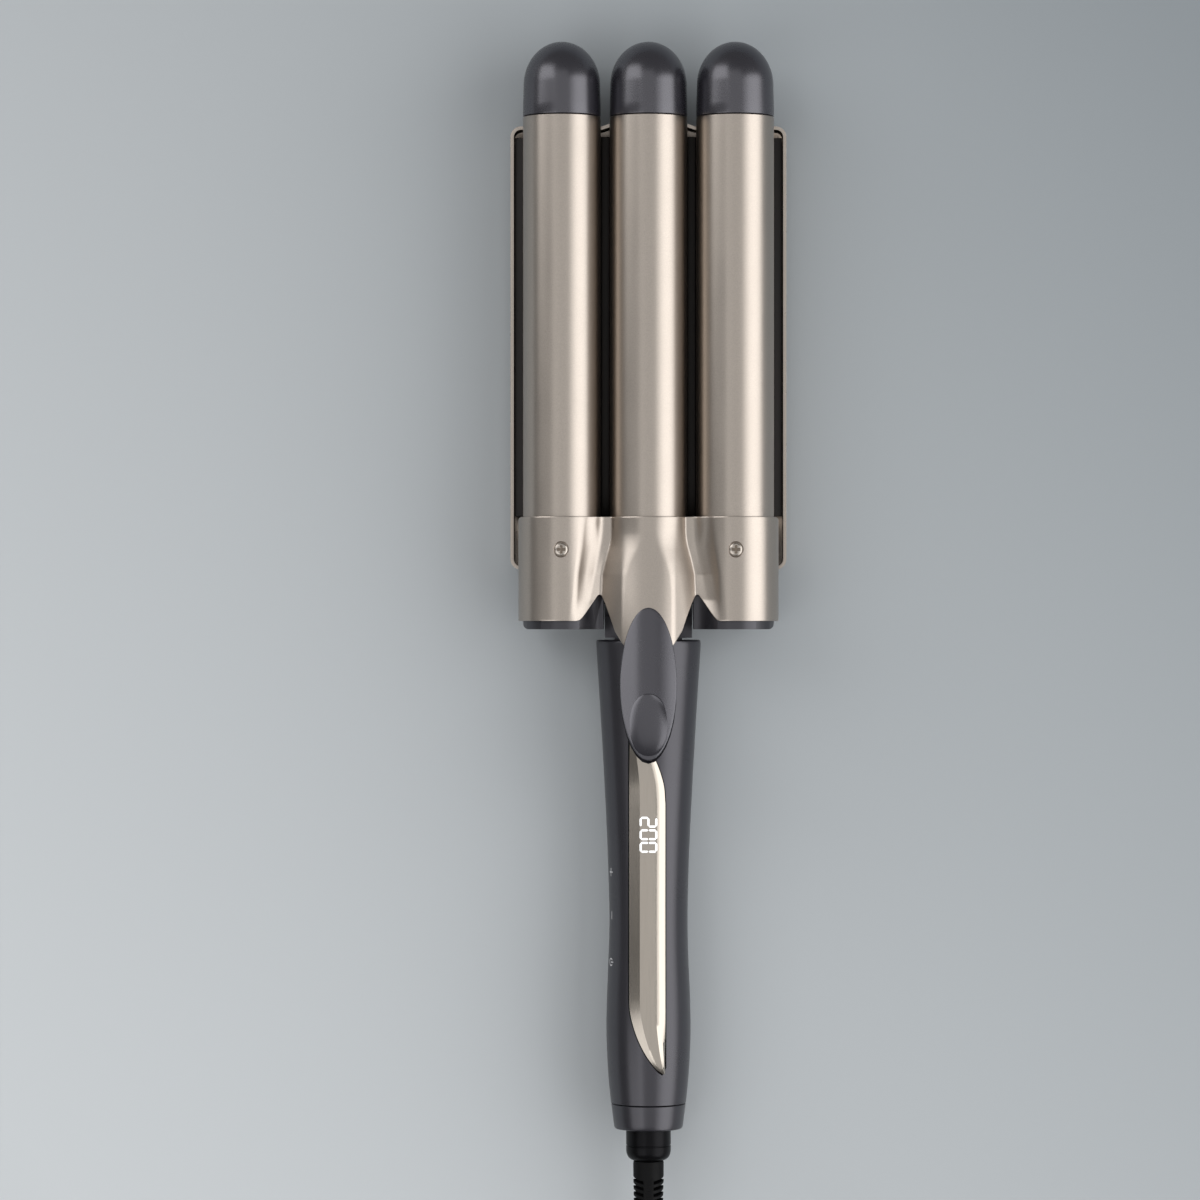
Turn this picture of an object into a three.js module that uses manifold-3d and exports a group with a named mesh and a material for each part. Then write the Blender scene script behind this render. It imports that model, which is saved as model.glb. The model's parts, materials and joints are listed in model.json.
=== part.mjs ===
// A triple-barrel hair waver lying on its back, in millimetres.
// X runs across the barrels, Y from the cord towards the tips, and Z up from the table.
// Every station along Y is first measured from the jaw's hinge axis, and the last group
// then moves the whole part so that its origin is at the middle of its length.
import * as THREE from "three";
import { mergeVertices } from "three/addons/utils/BufferGeometryUtils.js";
import Module from "manifold-3d";

const wasm = await Module();
wasm.setup();

// Clearances
const FIT = 0.3; // between a piece and the seat, socket or hole that holds it
const LEVER_CLEAR = 0.5; // left over the handle when the lever is pressed home
const BITE = 0.3; // how far one form of a piece runs into the next, so that they join

// Barrels, tips and what heats them
const BARREL_DIAMETER = 25.4;
const BARREL_WALL = 1.2;
const BARREL_PITCH = 28.3;
const BARREL_SHOWN = 130.8; // from the yoke cover's edge to the tip
const BARREL_SEATED = 6.5; // hidden under the yoke cover
const TIP_STRAIGHT = 10.3;
const TIP_DOME = 14.2;
const TIP_TAPER = 0.2; // how much narrower the tip is where its dome starts
const TIP_SPIGOT = 8;
const TIP_BORE_RADIUS = 8;
const SPREADER_END_GAP = 2;
const SPREADER_UNDER_SEAM = 13.1; // from its upper end to the tip's seam
const HEATER_WIDTH = 14;
const HEATER_THICKNESS = 5;
const HEATER_INSET = 6; // how far it stops short of the spreader's ends

// Yoke that carries the barrels
const YOKE_ABOVE_HINGE = 26.5; // the cover's edge across the barrels
const COVER_BELOW_HINGE = 7.4;
const COVER_OUT = 1.5; // how far the cover stands out from the barrels
const COVER_SKIRT = 5; // how far the cover reaches below the barrels' axes
const VALLEY_HEIGHT = 8.4; // the cover between two lobes, above the barrels' axes
const HUMP_RISE = 4.2; // how much the middle lobe climbs towards the lever
const NOTCH_APEX = [15.8, 1.2]; // distance from the middle plane, and station
const NOTCH_OUTER = [[20.7, -5.3], [21.9, -6.8]];
const TONGUE_EDGE = [[14.2, -1.6], [12.7, -5.7], [10.9, -10.9], [8.6, -14.6]];
const TONGUE_END = [6.6, -17];
const BASE_BELOW_HINGE = 10.1;
const BASE_UNDER_AXIS = 12.2; // the base's flat underside, below the barrels' axes
const BASE_EDGE_ROUND = 2;
const SOCKET_SPIGOT = 10.5; // the base's round spigots inside the barrels
const SPIGOT_BORE_RADIUS = 5;
const SPIGOT_BORE_DEPTH = 6; // how far the bore goes on into the base
const COVER_SCREW = {
  across: 28.3,
  up: 15.8,
  head: 4.1,
  headHeight: 1,
  recess: 4.9,
  sink: 0.4,
  shank: 2.4,
  length: 10,
};
const COVER_PAD_RADIUS = 4;
const COVER_PAD_DEPTH = 2.8;
const COVER_PAD_SINK = 0.5; // top of the screw pad under the cover's surface

// Hinge
const HINGE_DROP = 0.5; // hinge axis below the barrels' axes
const OPEN_DEGREES = 16;
const PIN_DIAMETER = 4;
const PIN_LENGTH = 43.4;
const BUSH_WALL = 1.3;
const NECK_WIDTH = 28.4;
const NECK_ROUND = 7; // radius of the neck's head about the hinge axis
const NECK_SIDE_CLEAR = 0.5;
const NECK_TO_HANDLE = 0.7;
const NECK_BOTTOM = 5; // height of the neck's underside
const NECK_TOP_LEVEL = 24.4;
const NECK_FOOT_LENGTH = 18;
const NECK_FOOT_THICKNESS = 4;
const NECK_FOOT_INSET = 1.2; // how much narrower the foot is on each side
const PLUG_WIDTH = 22;
const PLUG_DEPTH = 14;
const PLUG_LENGTH = 21;
const WEB_THICKNESS = 2.4; // the base's bridge over the neck
const WEB_START = -2;
const SPRING_WIRE = 1.1;
const SPRING_MEAN_RADIUS = 3.6;
const SPRING_TURNS = 5;
const SPRING_PITCH = 1.6;
const SPRING_POCKET = 13;
const SPRING_LEG = 7.4;
const SPRING_LEG_DEGREES = [-96, 49]; // where the legs leave the coil, about the pin

// Rear jaw
const TRAY_BESIDE_BARREL = 4.35; // from the outer barrels to the tray's sides
const TRAY_LENGTH = 145.7;
const TRAY_ABOVE_HINGE = 9.4;
const TRAY_CORNER = 3.5;
const TRAY_WALL = 1.1;
const TRAY_DEPTH = 11.3;
const TRAY_FLOOR = 1.2;
const YOKE_OVER_WALL = 0.8; // left between the yoke base and the tray's lower wall
const TRAY_CROWN = 0.9; // the end wall's middle stands this much further out
const TRAY_CROWN_EDGES = [12.6, 15.4];
const BACK_THICKNESS = 2.2;
const BACK_MARGIN = 4.2;
const BACK_BEVEL = 0.8;
const PLATE_STANDOFF = 3;
const PLATE_THICKNESS = 1.2;
const HAIR_GAP = 1.5;
const RIDGE_UNDER_AXIS = 6; // tops of the plate's ridges, below the barrels' axes
const RIDGE_THICKNESS = 2;
const FLANGE_UNDER_AXIS = 9.8;
const PLATE_END_GAP = 2.6;
const POST_RADIUS = 2.1;
const POST_INSET = 12;
const SHEET_THICKNESS = 1;
const SHEET_MARGIN = 2.2;
const JAW_SCREW = { head: 5, headHeight: 1.2, shank: 2.4, sink: 0.4 };
const POST_SCREW_LENGTH = 8;
const FOOT_SCREW_LENGTH = 4.6;
const FOOT_SCREW_ACROSS = 9;
const FOOT_SCREW_UP = 18;

// Handle
const HANDLE_BELOW_HINGE = 13.6;
const HANDLE_LENGTH = 160.2;
const HANDLE_TOP = [34.5, 28]; // width and depth
const HANDLE_WAIST = [25.7, 25];
const HANDLE_BULGE = [27.6, 26.8];
const HANDLE_END = [22.4, 22.2];
const HANDLE_WALL = 2;
const HANDLE_AXIS_HEIGHT = 16.5;
const HANDLE_TOP_WALL = 2.5;
const SPLIT_BELOW_AXIS = 6.5; // parting line of the two handle shells
const CAP_LENGTH = 7.5;
const CAP_SPIGOT = 4;
const CAP_SPIGOT_WALL = 1.2;
const CAP_FLOOR = 2;
const HANDLE_SCREW = {
  belowTop: 25,
  aboveEnd: 18.2,
  head: 4.6,
  headHeight: 1.4,
  sink: 0.6,
  shank: 2.2,
  boss: 2.6,
  grip: 7,
};

// Inlay, display and controls
const INLAY_LEFT = -6.3;
const INLAY_RIGHT = 5.5;
// Points of the foot are measured up from the handle's end, points of the head down from its top
const INLAY_FOOT_CURVE = [[-5.8, 37.8], [-3.8, 31.1], [-0.9, 25.2], [2.6, 20.4]];
const INLAY_FOOT_START = 42.8;
const INLAY_FOOT_TIP = [4.4, 18.9];
const INLAY_HEAD_CURVE = [[4.9, 46.9], [2.4, 39.4], [-1.4, 32.6], [-4.4, 28.2]];
const INLAY_HEAD_START = 53.4;
const INLAY_HEAD_TIP = [-5.7, 27];
const INLAY_TIP_ROUND = 1.6;
const INLAY_PROUD = 0.4;
const INLAY_DEPTH = 1.1;
const BOARD = { width: 13, belowTop: 28.4, aboveEnd: 25.8, thickness: 1.6, level: 5.6 };
const BOARD_RIB = { width: 2, length: 6, fromTop: 5, fromBottom: 8 };
const DISPLAY = { width: 7, length: 18, belowTop: 62.9, thickness: 4.2 };
const BUTTONS_BELOW_TOP = [["plus", 75.9], ["minus", 90], ["power", 105.3]];
const BUTTON_LENGTH = 9;
const BUTTON_HEIGHT = 5;
const BUTTON_DROP = 1.5; // button centres below the handle's axis
const BUTTON_TRAVEL = 0.4;
const BUTTON_LIP = 0.8;
const BUTTON_LIP_THICKNESS = 0.9;
const BUTTON_STEM_RADIUS = 1.2;
const BUTTON_REST_GAP = 0.1; // left under the stem when the button is fully pressed
const SWITCH = { size: 6, thickness: 1.8, plunger: 1.5, plungerOut: 0.5 };
const SIDE_BOARD = { from: -5.5, thickness: 1.2, depth: 12, past: 5.5 }; // past the outer buttons' middles

// Thumb lever
const LEVER_STATION = -28; // centre of the oval pad
const LEVER_LENGTH = 49;
const LEVER_SHOULDER = -17; // where the arm bends down under the cover's tongue
const LEVER_WIDTH = 18.3;
const PAD_HEAD_THICKNESS = 4.2;
const PAD_FOOT_THICKNESS = 2.2;
const ARM_THICKNESS = 2.6;
const ARM_PAST_PAD = 1.6; // the arm's oval shows past the pad's lower end
const SHANK_WIDTH = 9;
const SHANK_THICKNESS = 2.4;
const SHANK_THIN = 1.5; // where it passes under the cover's tongue
const SHANK_END = 8;
const SHANK_KNEE = [-3, -1]; // where it meets the web, below and above
const SHANK_UNDER_PADDLE = 8;
const DISH = { width: 13.4, length: 21, depth: 1.3, fromEnd: 12.2 };
const LEVER_SCREW = { station: 3.5, head: 4.4, headHeight: 1.1, shank: 2, length: 4.4 };

// Swivel, strain relief and cord
const COLLAR_DIAMETER = 14.7;
const COLLAR_STRAIGHT = 7.2;
const COLLAR_CHAMFER = 3.2;
const COLLAR_FLANGE = 2; // thickness of the flange that keeps the collar in the cap
const COLLAR_FLANGE_OUT = 1.2;
const RELIEF_DIAMETER = 10;
const RELIEF_END_DIAMETER = 8;
const RELIEF_LENGTH = 47;
const RELIEF_PLAIN = 5.2; // plain length before the first slot
const RELIEF_SLOTS = 11;
const RELIEF_SLOT_PITCH = 2.06;
const RELIEF_SLOT_WIDTH = 1;
const RELIEF_CORE_RADIUS = 3.3;
const RELIEF_WEB = 3.3;
const CORD_DIAMETER = 6;
const CORD_GAP = 0.55; // between neighbouring turns of the coil
const COIL_TURNS = 7.5;
const COIL_INNER_RADIUS = 23.5;
const COIL_STRAIGHT = 6;
const LEAD_LENGTH = 75;
const TIE_THICKNESS = 0.8;
const TIE_WIDTH = 9;
const TIE_ROOM = 0.5; // round the coil's section
const PLUG_BODY = { width: 23, length: 31, depth: 14, round: 4, waist: 17, noseDepth: 9.8 };
const PLUG_SLEEVE = { wall: 1.4, length: 5, bite: 2 };
const BLADE = { pitch: 12.7, width: 6.35, thickness: 1.5, length: 16.5 };

// Heights and stations that follow from the sizes above
const barrelRadius = BARREL_DIAMETER / 2;
const boreRadius = barrelRadius - BARREL_WALL;
const trayFloorTop = BACK_THICKNESS + TRAY_FLOOR;
const plateBottom = trayFloorTop + PLATE_STANDOFF;
const barrelZ = plateBottom + PLATE_THICKNESS + HAIR_GAP + barrelRadius;
const hingeZ = barrelZ - HINGE_DROP;
const coverRadius = barrelRadius + COVER_OUT;
const tipSeam = YOKE_ABOVE_HINGE + BARREL_SHOWN;
const barrelFoot = YOKE_ABOVE_HINGE - BARREL_SEATED;
const baseTop = barrelFoot - FIT;
const tipTop = tipSeam + TIP_STRAIGHT + TIP_DOME;
const trayTop = TRAY_ABOVE_HINGE + TRAY_LENGTH;
const trayHalf = BARREL_PITCH + barrelRadius + TRAY_BESIDE_BARREL;
const handleTop = -HANDLE_BELOW_HINGE;
const handleEnd = handleTop - HANDLE_LENGTH;
const capSeam = handleEnd + CAP_LENGTH;
const collarEnd = handleEnd - COLLAR_STRAIGHT - COLLAR_CHAMFER;
const reliefEnd = collarEnd - RELIEF_LENGTH;
const splitZ = HANDLE_AXIS_HEIGHT - SPLIT_BELOW_AXIS;
const laneX = [["left", -BARREL_PITCH], ["centre", 0], ["right", BARREL_PITCH]];
const FAR = 400; // reach of a cutting block past everything

// Materials
const finish = (color, roughness, metalness) =>
  new THREE.MeshStandardMaterial({ color, roughness, metalness });
const champagne = finish(0xa89f94, 0.35, 0.9);
const glossChampagne = finish(0xb7ad9f, 0.18, 0.9);
const greyPlastic = finish(0x4a4950, 0.42, 0);
const blackPlastic = finish(0x141416, 0.5, 0);
const darkPlate = finish(0x1e1712, 0.45, 0.4);
const steel = finish(0xb9bbbd, 0.3, 1);
const aluminium = finish(0xb4b6b8, 0.45, 1);
const ceramic = finish(0xd8d2c4, 0.7, 0);
const boardGreen = finish(0x1f5a3a, 0.6, 0);
const rubber = finish(0x131314, 0.75, 0);
const brass = finish(0xb08d48, 0.35, 1);

// A geometry as a manifold solid: only positions, shared corners merged, flat triangles dropped.
function solid(geometry) {
  const bare = geometry.index ? geometry.toNonIndexed() : geometry.clone();
  bare.deleteAttribute("normal");
  bare.deleteAttribute("uv");
  const merged = mergeVertices(bare, 1e-4);
  const corners = merged.index.array;
  const kept = [];
  for (let i = 0; i < corners.length; i += 3) {
    const [a, b, c] = [corners[i], corners[i + 1], corners[i + 2]];
    if (a !== b && b !== c && a !== c) kept.push(a, b, c);
  }
  const vertProperties = merged.attributes.position.array;
  return new wasm.Manifold(new wasm.Mesh({ numProp: 3, vertProperties, triVerts: new Uint32Array(kept) }));
}

function geometryOf(made) {
  const { vertProperties, triVerts } = made.getMesh();
  const geometry = new THREE.BufferGeometry();
  geometry.setAttribute("position", new THREE.BufferAttribute(vertProperties, 3));
  geometry.setIndex(new THREE.BufferAttribute(triVerts, 1));
  geometry.computeVertexNormals();
  return geometry;
}

const join = (first, ...rest) => rest.reduce((whole, piece) => whole.add(piece), first);
const cut = (first, ...tools) => tools.reduce((whole, tool) => whole.subtract(tool), first);

function block(x0, x1, y0, y1, z0, z1) {
  const box = new THREE.BoxGeometry(x1 - x0, y1 - y0, z1 - z0);
  return solid(box.translate((x0 + x1) / 2, (y0 + y1) / 2, (z0 + z1) / 2));
}

// Round bars along X, Y and Z: radius, two ends, and the two other coordinates of the axis.
function barX(radius, x0, x1, y, z, sides = 20) {
  const bar = new THREE.CylinderGeometry(radius, radius, x1 - x0, sides).rotateZ(Math.PI / 2);
  return solid(bar.translate((x0 + x1) / 2, y, z));
}

function barY(radius, y0, y1, x, z, sides = 32) {
  const bar = new THREE.CylinderGeometry(radius, radius, y1 - y0, sides);
  return solid(bar.translate(x, (y0 + y1) / 2, z));
}

function barZ(radius, z0, z1, x, y, sides = 12) {
  const bar = new THREE.CylinderGeometry(radius, radius, z1 - z0, sides).rotateX(Math.PI / 2);
  return solid(bar.translate(x, y, (z0 + z1) / 2));
}

// An outline drawn in X and Y, standing between two heights.
function planBody(shape, z0, z1, curveSegments = 8) {
  const body = new THREE.ExtrudeGeometry(shape, { depth: z1 - z0, bevelEnabled: false, curveSegments });
  return solid(body.translate(0, 0, z0));
}

// An outline drawn in Y and Z, running from x0 to x1.
function sideBody(shape, x0, x1, curveSegments = 8) {
  const body = new THREE.ExtrudeGeometry(shape, { depth: x1 - x0, bevelEnabled: false, curveSegments });
  const turn = new THREE.Matrix4().makeBasis(
    new THREE.Vector3(0, 1, 0),
    new THREE.Vector3(0, 0, 1),
    new THREE.Vector3(1, 0, 0),
  );
  return solid(body.applyMatrix4(turn).translate(x0, 0, 0));
}

// An outline drawn in X and Z, running from y0 to y1; shift(x, y) lifts its points.
function lengthBody(shape, y0, y1, { steps = 1, curveSegments = 10, shift = null } = {}) {
  const options = { depth: y1 - y0, bevelEnabled: false, steps, curveSegments };
  const body = new THREE.ExtrudeGeometry(shape, options);
  const turn = new THREE.Matrix4().makeBasis(
    new THREE.Vector3(1, 0, 0),
    new THREE.Vector3(0, 0, 1),
    new THREE.Vector3(0, -1, 0),
  );
  body.applyMatrix4(turn).translate(0, y1, 0);
  if (shift) {
    const place = body.attributes.position;
    for (let i = 0; i < place.count; i++)
      place.setZ(i, place.getZ(i) + shift(place.getX(i), place.getY(i)));
  }
  return solid(body);
}

// A profile of [radius, station] pairs turned about the Y axis.
function turned(profile, sides = 20) {
  const points = profile.map(([r, y]) => new THREE.Vector2(r, y));
  return solid(new THREE.LatheGeometry(points, sides));
}

function tubeAlong(path, radius, steps, sides) {
  const section = new THREE.Shape();
  for (let i = 0; i < sides; i++) {
    const angle = (2 * Math.PI * i) / sides;
    const corner = [radius * Math.cos(angle), radius * Math.sin(angle)];
    if (i) section.lineTo(...corner);
    else section.moveTo(...corner);
  }
  return solid(new THREE.ExtrudeGeometry(section, { steps, bevelEnabled: false, extrudePath: path }));
}

function outline(points) {
  const shape = new THREE.Shape();
  points.forEach(([x, y], i) => (i ? shape.lineTo(x, y) : shape.moveTo(x, y)));
  return shape;
}

function roundedBox(x0, x1, y0, y1, radius) {
  const shape = new THREE.Shape();
  shape.absarc(x1 - radius, y1 - radius, radius, 0, Math.PI / 2);
  shape.absarc(x0 + radius, y1 - radius, radius, Math.PI / 2, Math.PI);
  shape.absarc(x0 + radius, y0 + radius, radius, Math.PI, 1.5 * Math.PI);
  shape.absarc(x1 - radius, y0 + radius, radius, 1.5 * Math.PI, 2 * Math.PI);
  return shape;
}

const whole = new THREE.Group();
const jaw = new THREE.Group();
const body = new THREE.Group();
const cordSet = new THREE.Group();
whole.add(jaw, body, cordSet);

function place(group, name, made, material, position = [0, 0, 0]) {
  const mesh = new THREE.Mesh(geometryOf(made), material);
  mesh.name = name;
  mesh.position.set(...position);
  group.add(mesh);
  return mesh;
}

// Barrels, tips, spreaders and heaters, one set in each lane
function barrelTube() {
  const [low, high] = [barrelFoot, tipSeam - FIT / 2];
  return turned([
    [boreRadius, low],
    [barrelRadius, low],
    [barrelRadius, high],
    [boreRadius, high],
    [boreRadius, low],
  ], 28);
}

function tipCap() {
  const neckRadius = boreRadius - FIT;
  const domeRadius = barrelRadius - TIP_TAPER;
  const domeStart = tipSeam + TIP_STRAIGHT;
  const spigotEnd = tipSeam - TIP_SPIGOT;
  const profile = [
    [0, domeStart],
    [TIP_BORE_RADIUS, domeStart],
    [TIP_BORE_RADIUS, spigotEnd],
    [neckRadius, spigotEnd],
    [neckRadius, tipSeam],
    [barrelRadius - TIP_TAPER / 4, tipSeam],
  ];
  const rings = 5;
  for (let i = 0; i < rings; i++) {
    const angle = (i / rings) * (Math.PI / 2);
    profile.push([domeRadius * Math.cos(angle), domeStart + TIP_DOME * Math.sin(angle)]);
  }
  profile.push([0, tipTop]);
  return turned(profile);
}

const spreaderFoot = baseTop + SOCKET_SPIGOT + SPREADER_END_GAP;
const spreaderHead = tipSeam - SPREADER_UNDER_SEAM;

function heatSpreader() {
  const disc = new THREE.Shape().absarc(0, 0, boreRadius - FIT, 0, 2 * Math.PI);
  const [halfWidth, halfThickness] = [HEATER_WIDTH / 2 + FIT, HEATER_THICKNESS / 2 + FIT];
  const window = new THREE.Path();
  window.moveTo(-halfWidth, -halfThickness);
  window.lineTo(-halfWidth, halfThickness);
  window.lineTo(halfWidth, halfThickness);
  window.lineTo(halfWidth, -halfThickness);
  disc.holes.push(window);
  return lengthBody(disc, spreaderFoot, spreaderHead, { curveSegments: 16 });
}

function heater() {
  const [w, t] = [HEATER_WIDTH / 2, HEATER_THICKNESS / 2];
  return block(-w, w, spreaderFoot + HEATER_INSET, spreaderHead - HEATER_INSET, -t, t);
}

for (const [side, x] of laneX) {
  const at = [x, 0, barrelZ];
  place(jaw, "barrel_" + side, barrelTube(), champagne, at);
  place(jaw, "tip_" + side, tipCap(), greyPlastic, at);
  place(jaw, "heat_spreader_" + side, heatSpreader(), aluminium, at);
  place(jaw, "heater_" + side, heater(), ceramic, at);
}

// The yoke's section across the barrels: three lobes with filled valleys, open or flat below.
function yokeSection(radius, valleyTop, bottom) {
  const lift = Math.asin((valleyTop - barrelZ) / radius);
  const reach = BARREL_PITCH + radius;
  const shape = new THREE.Shape();
  shape.moveTo(reach, bottom);
  shape.lineTo(reach, barrelZ);
  shape.absarc(BARREL_PITCH, barrelZ, radius, 0, Math.PI - lift);
  shape.absarc(0, barrelZ, radius, lift, Math.PI - lift);
  shape.absarc(-BARREL_PITCH, barrelZ, radius, lift, Math.PI);
  shape.lineTo(-reach, bottom);
  return shape;
}

// The middle lobe climbs towards the lever.
function humpLift(x, y) {
  const along = THREE.MathUtils.smoothstep(YOKE_ABOVE_HINGE - y, 0, YOKE_ABOVE_HINGE - TONGUE_END[1]);
  const across = 1 - THREE.MathUtils.smoothstep(Math.abs(x), coverRadius * 0.7, coverRadius * 1.1);
  return HUMP_RISE * along * across;
}

function coverPlan() {
  const reach = BARREL_PITCH + coverRadius + 1;
  const foot = -COVER_BELOW_HINGE;
  const right = [
    [reach, YOKE_ABOVE_HINGE],
    [reach, foot],
    [NOTCH_OUTER[1][0] + 1.1, foot],
    NOTCH_OUTER[1],
    NOTCH_OUTER[0],
    NOTCH_APEX,
    ...TONGUE_EDGE,
    TONGUE_END,
  ];
  const left = right.map(([x, y]) => [-x, y]).reverse();
  return outline([...right, ...left].reverse());
}

const screwSurface = barrelZ + coverRadius;
const coverSeat = screwSurface - COVER_SCREW.sink - COVER_SCREW.headHeight;

function yokeCover() {
  const skirt = barrelZ - COVER_SKIRT;
  const [low, high] = [TONGUE_END[1] - 1, YOKE_ABOVE_HINGE + 1];
  const thickness = COVER_OUT - FIT;
  const options = { steps: 4, curveSegments: 6, shift: humpLift };
  const valley = barrelZ + VALLEY_HEIGHT;
  const outer = lengthBody(yokeSection(coverRadius, valley, skirt), low, high, options);
  const roomSection = yokeSection(barrelRadius + FIT, valley - thickness, skirt - 1);
  const room = lengthBody(roomSection, low - 1, high + 1, options);
  const plan = planBody(coverPlan(), skirt - 2, FAR / 4);
  let cover = cut(outer.intersect(plan), room);
  const y = COVER_SCREW.up;
  const [padLow, padTop] = [screwSurface - COVER_PAD_DEPTH, screwSurface - COVER_PAD_SINK];
  for (const x of [-COVER_SCREW.across, COVER_SCREW.across])
    cover = cut(
      join(cover, barZ(COVER_PAD_RADIUS, padLow, padTop, x, y)),
      barZ(COVER_SCREW.recess / 2, coverSeat, screwSurface + 1, x, y),
      barZ(COVER_SCREW.shank / 2 + FIT / 2, padLow - 1, coverSeat + 1, x, y),
    );
  return cover;
}

function coverScrew() {
  return join(
    barZ(COVER_SCREW.head / 2, coverSeat, coverSeat + COVER_SCREW.headHeight, 0, COVER_SCREW.up),
    barZ(COVER_SCREW.shank / 2, coverSeat - COVER_SCREW.length, coverSeat + BITE, 0, COVER_SCREW.up, 8),
  );
}

const webBottom = hingeZ + NECK_ROUND + NECK_SIDE_CLEAR;
const webTop = webBottom + WEB_THICKNESS;
const baseBottom = barrelZ - BASE_UNDER_AXIS;
const slotHalf = NECK_WIDTH / 2 + NECK_SIDE_CLEAR;

const springHalf = (SPRING_TURNS * SPRING_PITCH) / 2;
const springReach = SPRING_MEAN_RADIUS + SPRING_WIRE / 2 + FIT;

// A slot for one of the spring's legs, on the handle's side of the hinge
function springLegSlot(x, z0, z1) {
  const half = SPRING_WIRE / 2 + FIT;
  const reach = Math.hypot(SPRING_MEAN_RADIUS, SPRING_LEG) + SPRING_WIRE / 2 + FIT;
  return block(x - half, x + half, -reach, SPRING_MEAN_RADIUS, z0, z1);
}

// Room for the neck: a slot below, and a round hollow about the hinge.
function neckRoom() {
  const reach = NECK_ROUND + NECK_SIDE_CLEAR;
  const low = -BASE_BELOW_HINGE - 1;
  return join(
    block(-slotHalf, slotHalf, low, 0, baseBottom - 1, webBottom),
    block(-slotHalf, slotHalf, -0.5, reach, baseBottom - 1, hingeZ),
    barX(reach, -slotHalf, slotHalf, 0, hingeZ, 32),
  );
}

function yokeBase() {
  const low = -BASE_BELOW_HINGE;
  const reach = BARREL_PITCH + barrelRadius;
  const section = yokeSection(barrelRadius, barrelZ + VALLEY_HEIGHT - COVER_OUT, baseBottom);
  const foot = roundedBox(-reach, reach, low, baseTop + 2 * BASE_EDGE_ROUND, BASE_EDGE_ROUND);
  let base = lengthBody(section, low, baseTop, { curveSegments: 5 });
  base = base.intersect(planBody(foot, baseBottom - 1, FAR / 4, 4));
  const [spigotTop, boreFoot] = [baseTop + SOCKET_SPIGOT, baseTop - SPIGOT_BORE_DEPTH];
  for (const [, x] of laneX)
    base = join(base, barY(boreRadius - FIT, baseTop - 1, spigotTop, x, barrelZ, 16));
  for (const [, x] of laneX)
    base = cut(base, barY(SPIGOT_BORE_RADIUS, boreFoot, spigotTop + 1, x, barrelZ, 12));
  const shankHalf = SHANK_WIDTH / 2 + FIT;
  base = cut(
    base,
    neckRoom(),
    block(-slotHalf, slotHalf, low - 1, WEB_START, webBottom - 1, FAR / 4),
    block(-shankHalf, shankHalf, low - 1, SHANK_END + FIT, webTop, FAR / 4),
    springLegSlot(springHalf, webBottom - 1, webTop + 1),
    barZ(LEVER_SCREW.shank / 2 + FIT / 2, webBottom - 1, webTop + 1, 0, LEVER_SCREW.station, 8),
  );
  const bushSeat = PIN_DIAMETER / 2 + FIT + BUSH_WALL + FIT / 2;
  const seatEnd = PIN_LENGTH / 2 + FIT;
  const padFloor = screwSurface - COVER_PAD_DEPTH - FIT;
  const boreLow = screwSurface - COVER_SCREW.length - 3;
  const [boreRound, y] = [COVER_SCREW.shank / 2 + FIT / 2, COVER_SCREW.up];
  for (const side of [-1, 1]) {
    const [x0, x1] = [side * (slotHalf - 1), side * seatEnd].sort((a, b) => a - b);
    const x = side * COVER_SCREW.across;
    base = cut(
      base,
      barX(bushSeat, x0, x1, 0, hingeZ),
      barZ(COVER_PAD_RADIUS + FIT, padFloor, FAR / 4, x, y),
      barZ(boreRound, boreLow, FAR / 4, x, y, 8),
    );
  }
  return base;
}

place(jaw, "yoke_cover", yokeCover(), champagne);
place(jaw, "yoke_base", yokeBase(), greyPlastic);
place(jaw, "cover_screw_left", coverScrew(), steel, [-COVER_SCREW.across, 0, 0]);
place(jaw, "cover_screw_right", coverScrew(), steel, [COVER_SCREW.across, 0, 0]);

// Hinge pin, its two bushes and the torsion spring
function hingeBush(side) {
  const outer = PIN_DIAMETER / 2 + FIT + BUSH_WALL;
  const [x0, x1] = [side * (slotHalf + FIT), (side * PIN_LENGTH) / 2].sort((a, b) => a - b);
  return cut(barX(outer, x0, x1, 0, hingeZ), barX(PIN_DIAMETER / 2 + FIT, x0 - 1, x1 + 1, 0, hingeZ));
}

place(body, "hinge_pin", barX(PIN_DIAMETER / 2, -PIN_LENGTH / 2, PIN_LENGTH / 2, 0, hingeZ), steel);
place(jaw, "hinge_bush_left", hingeBush(-1), brass);
place(jaw, "hinge_bush_right", hingeBush(1), brass);

// The spring winds round the pin: one leg lies on the neck, the other lifts the lever.
const [lowLegAngle, highLegAngle] = SPRING_LEG_DEGREES.map(THREE.MathUtils.degToRad);
const springSweep = 2 * Math.PI * SPRING_TURNS + highLegAngle - lowLegAngle;
const woundLength = springSweep * SPRING_MEAN_RADIUS;

class TorsionSpring extends THREE.Curve {
  getPoint(t, target = new THREE.Vector3()) {
    const along = t * (2 * SPRING_LEG + woundLength) - SPRING_LEG;
    if (along < 0) return this.legPoint(lowLegAngle, along, -springHalf, target);
    if (along > woundLength)
      return this.legPoint(lowLegAngle + springSweep, along - woundLength, springHalf, target);
    const share = along / woundLength;
    return this.legPoint(lowLegAngle + springSweep * share, 0, springHalf * (2 * share - 1), target);
  }

  // A point on the winding at an angle, or so far along the straight line that leaves it there
  legPoint(angle, out, x, target) {
    const [c, s] = [Math.cos(angle), Math.sin(angle)];
    return target.set(x, SPRING_MEAN_RADIUS * c - out * s, hingeZ + SPRING_MEAN_RADIUS * s + out * c);
  }
}

place(body, "torsion_spring", tubeAlong(new TorsionSpring(), SPRING_WIRE / 2, 50, 4), steel);

const jawScrewSeat = JAW_SCREW.sink + JAW_SCREW.headHeight;

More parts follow.
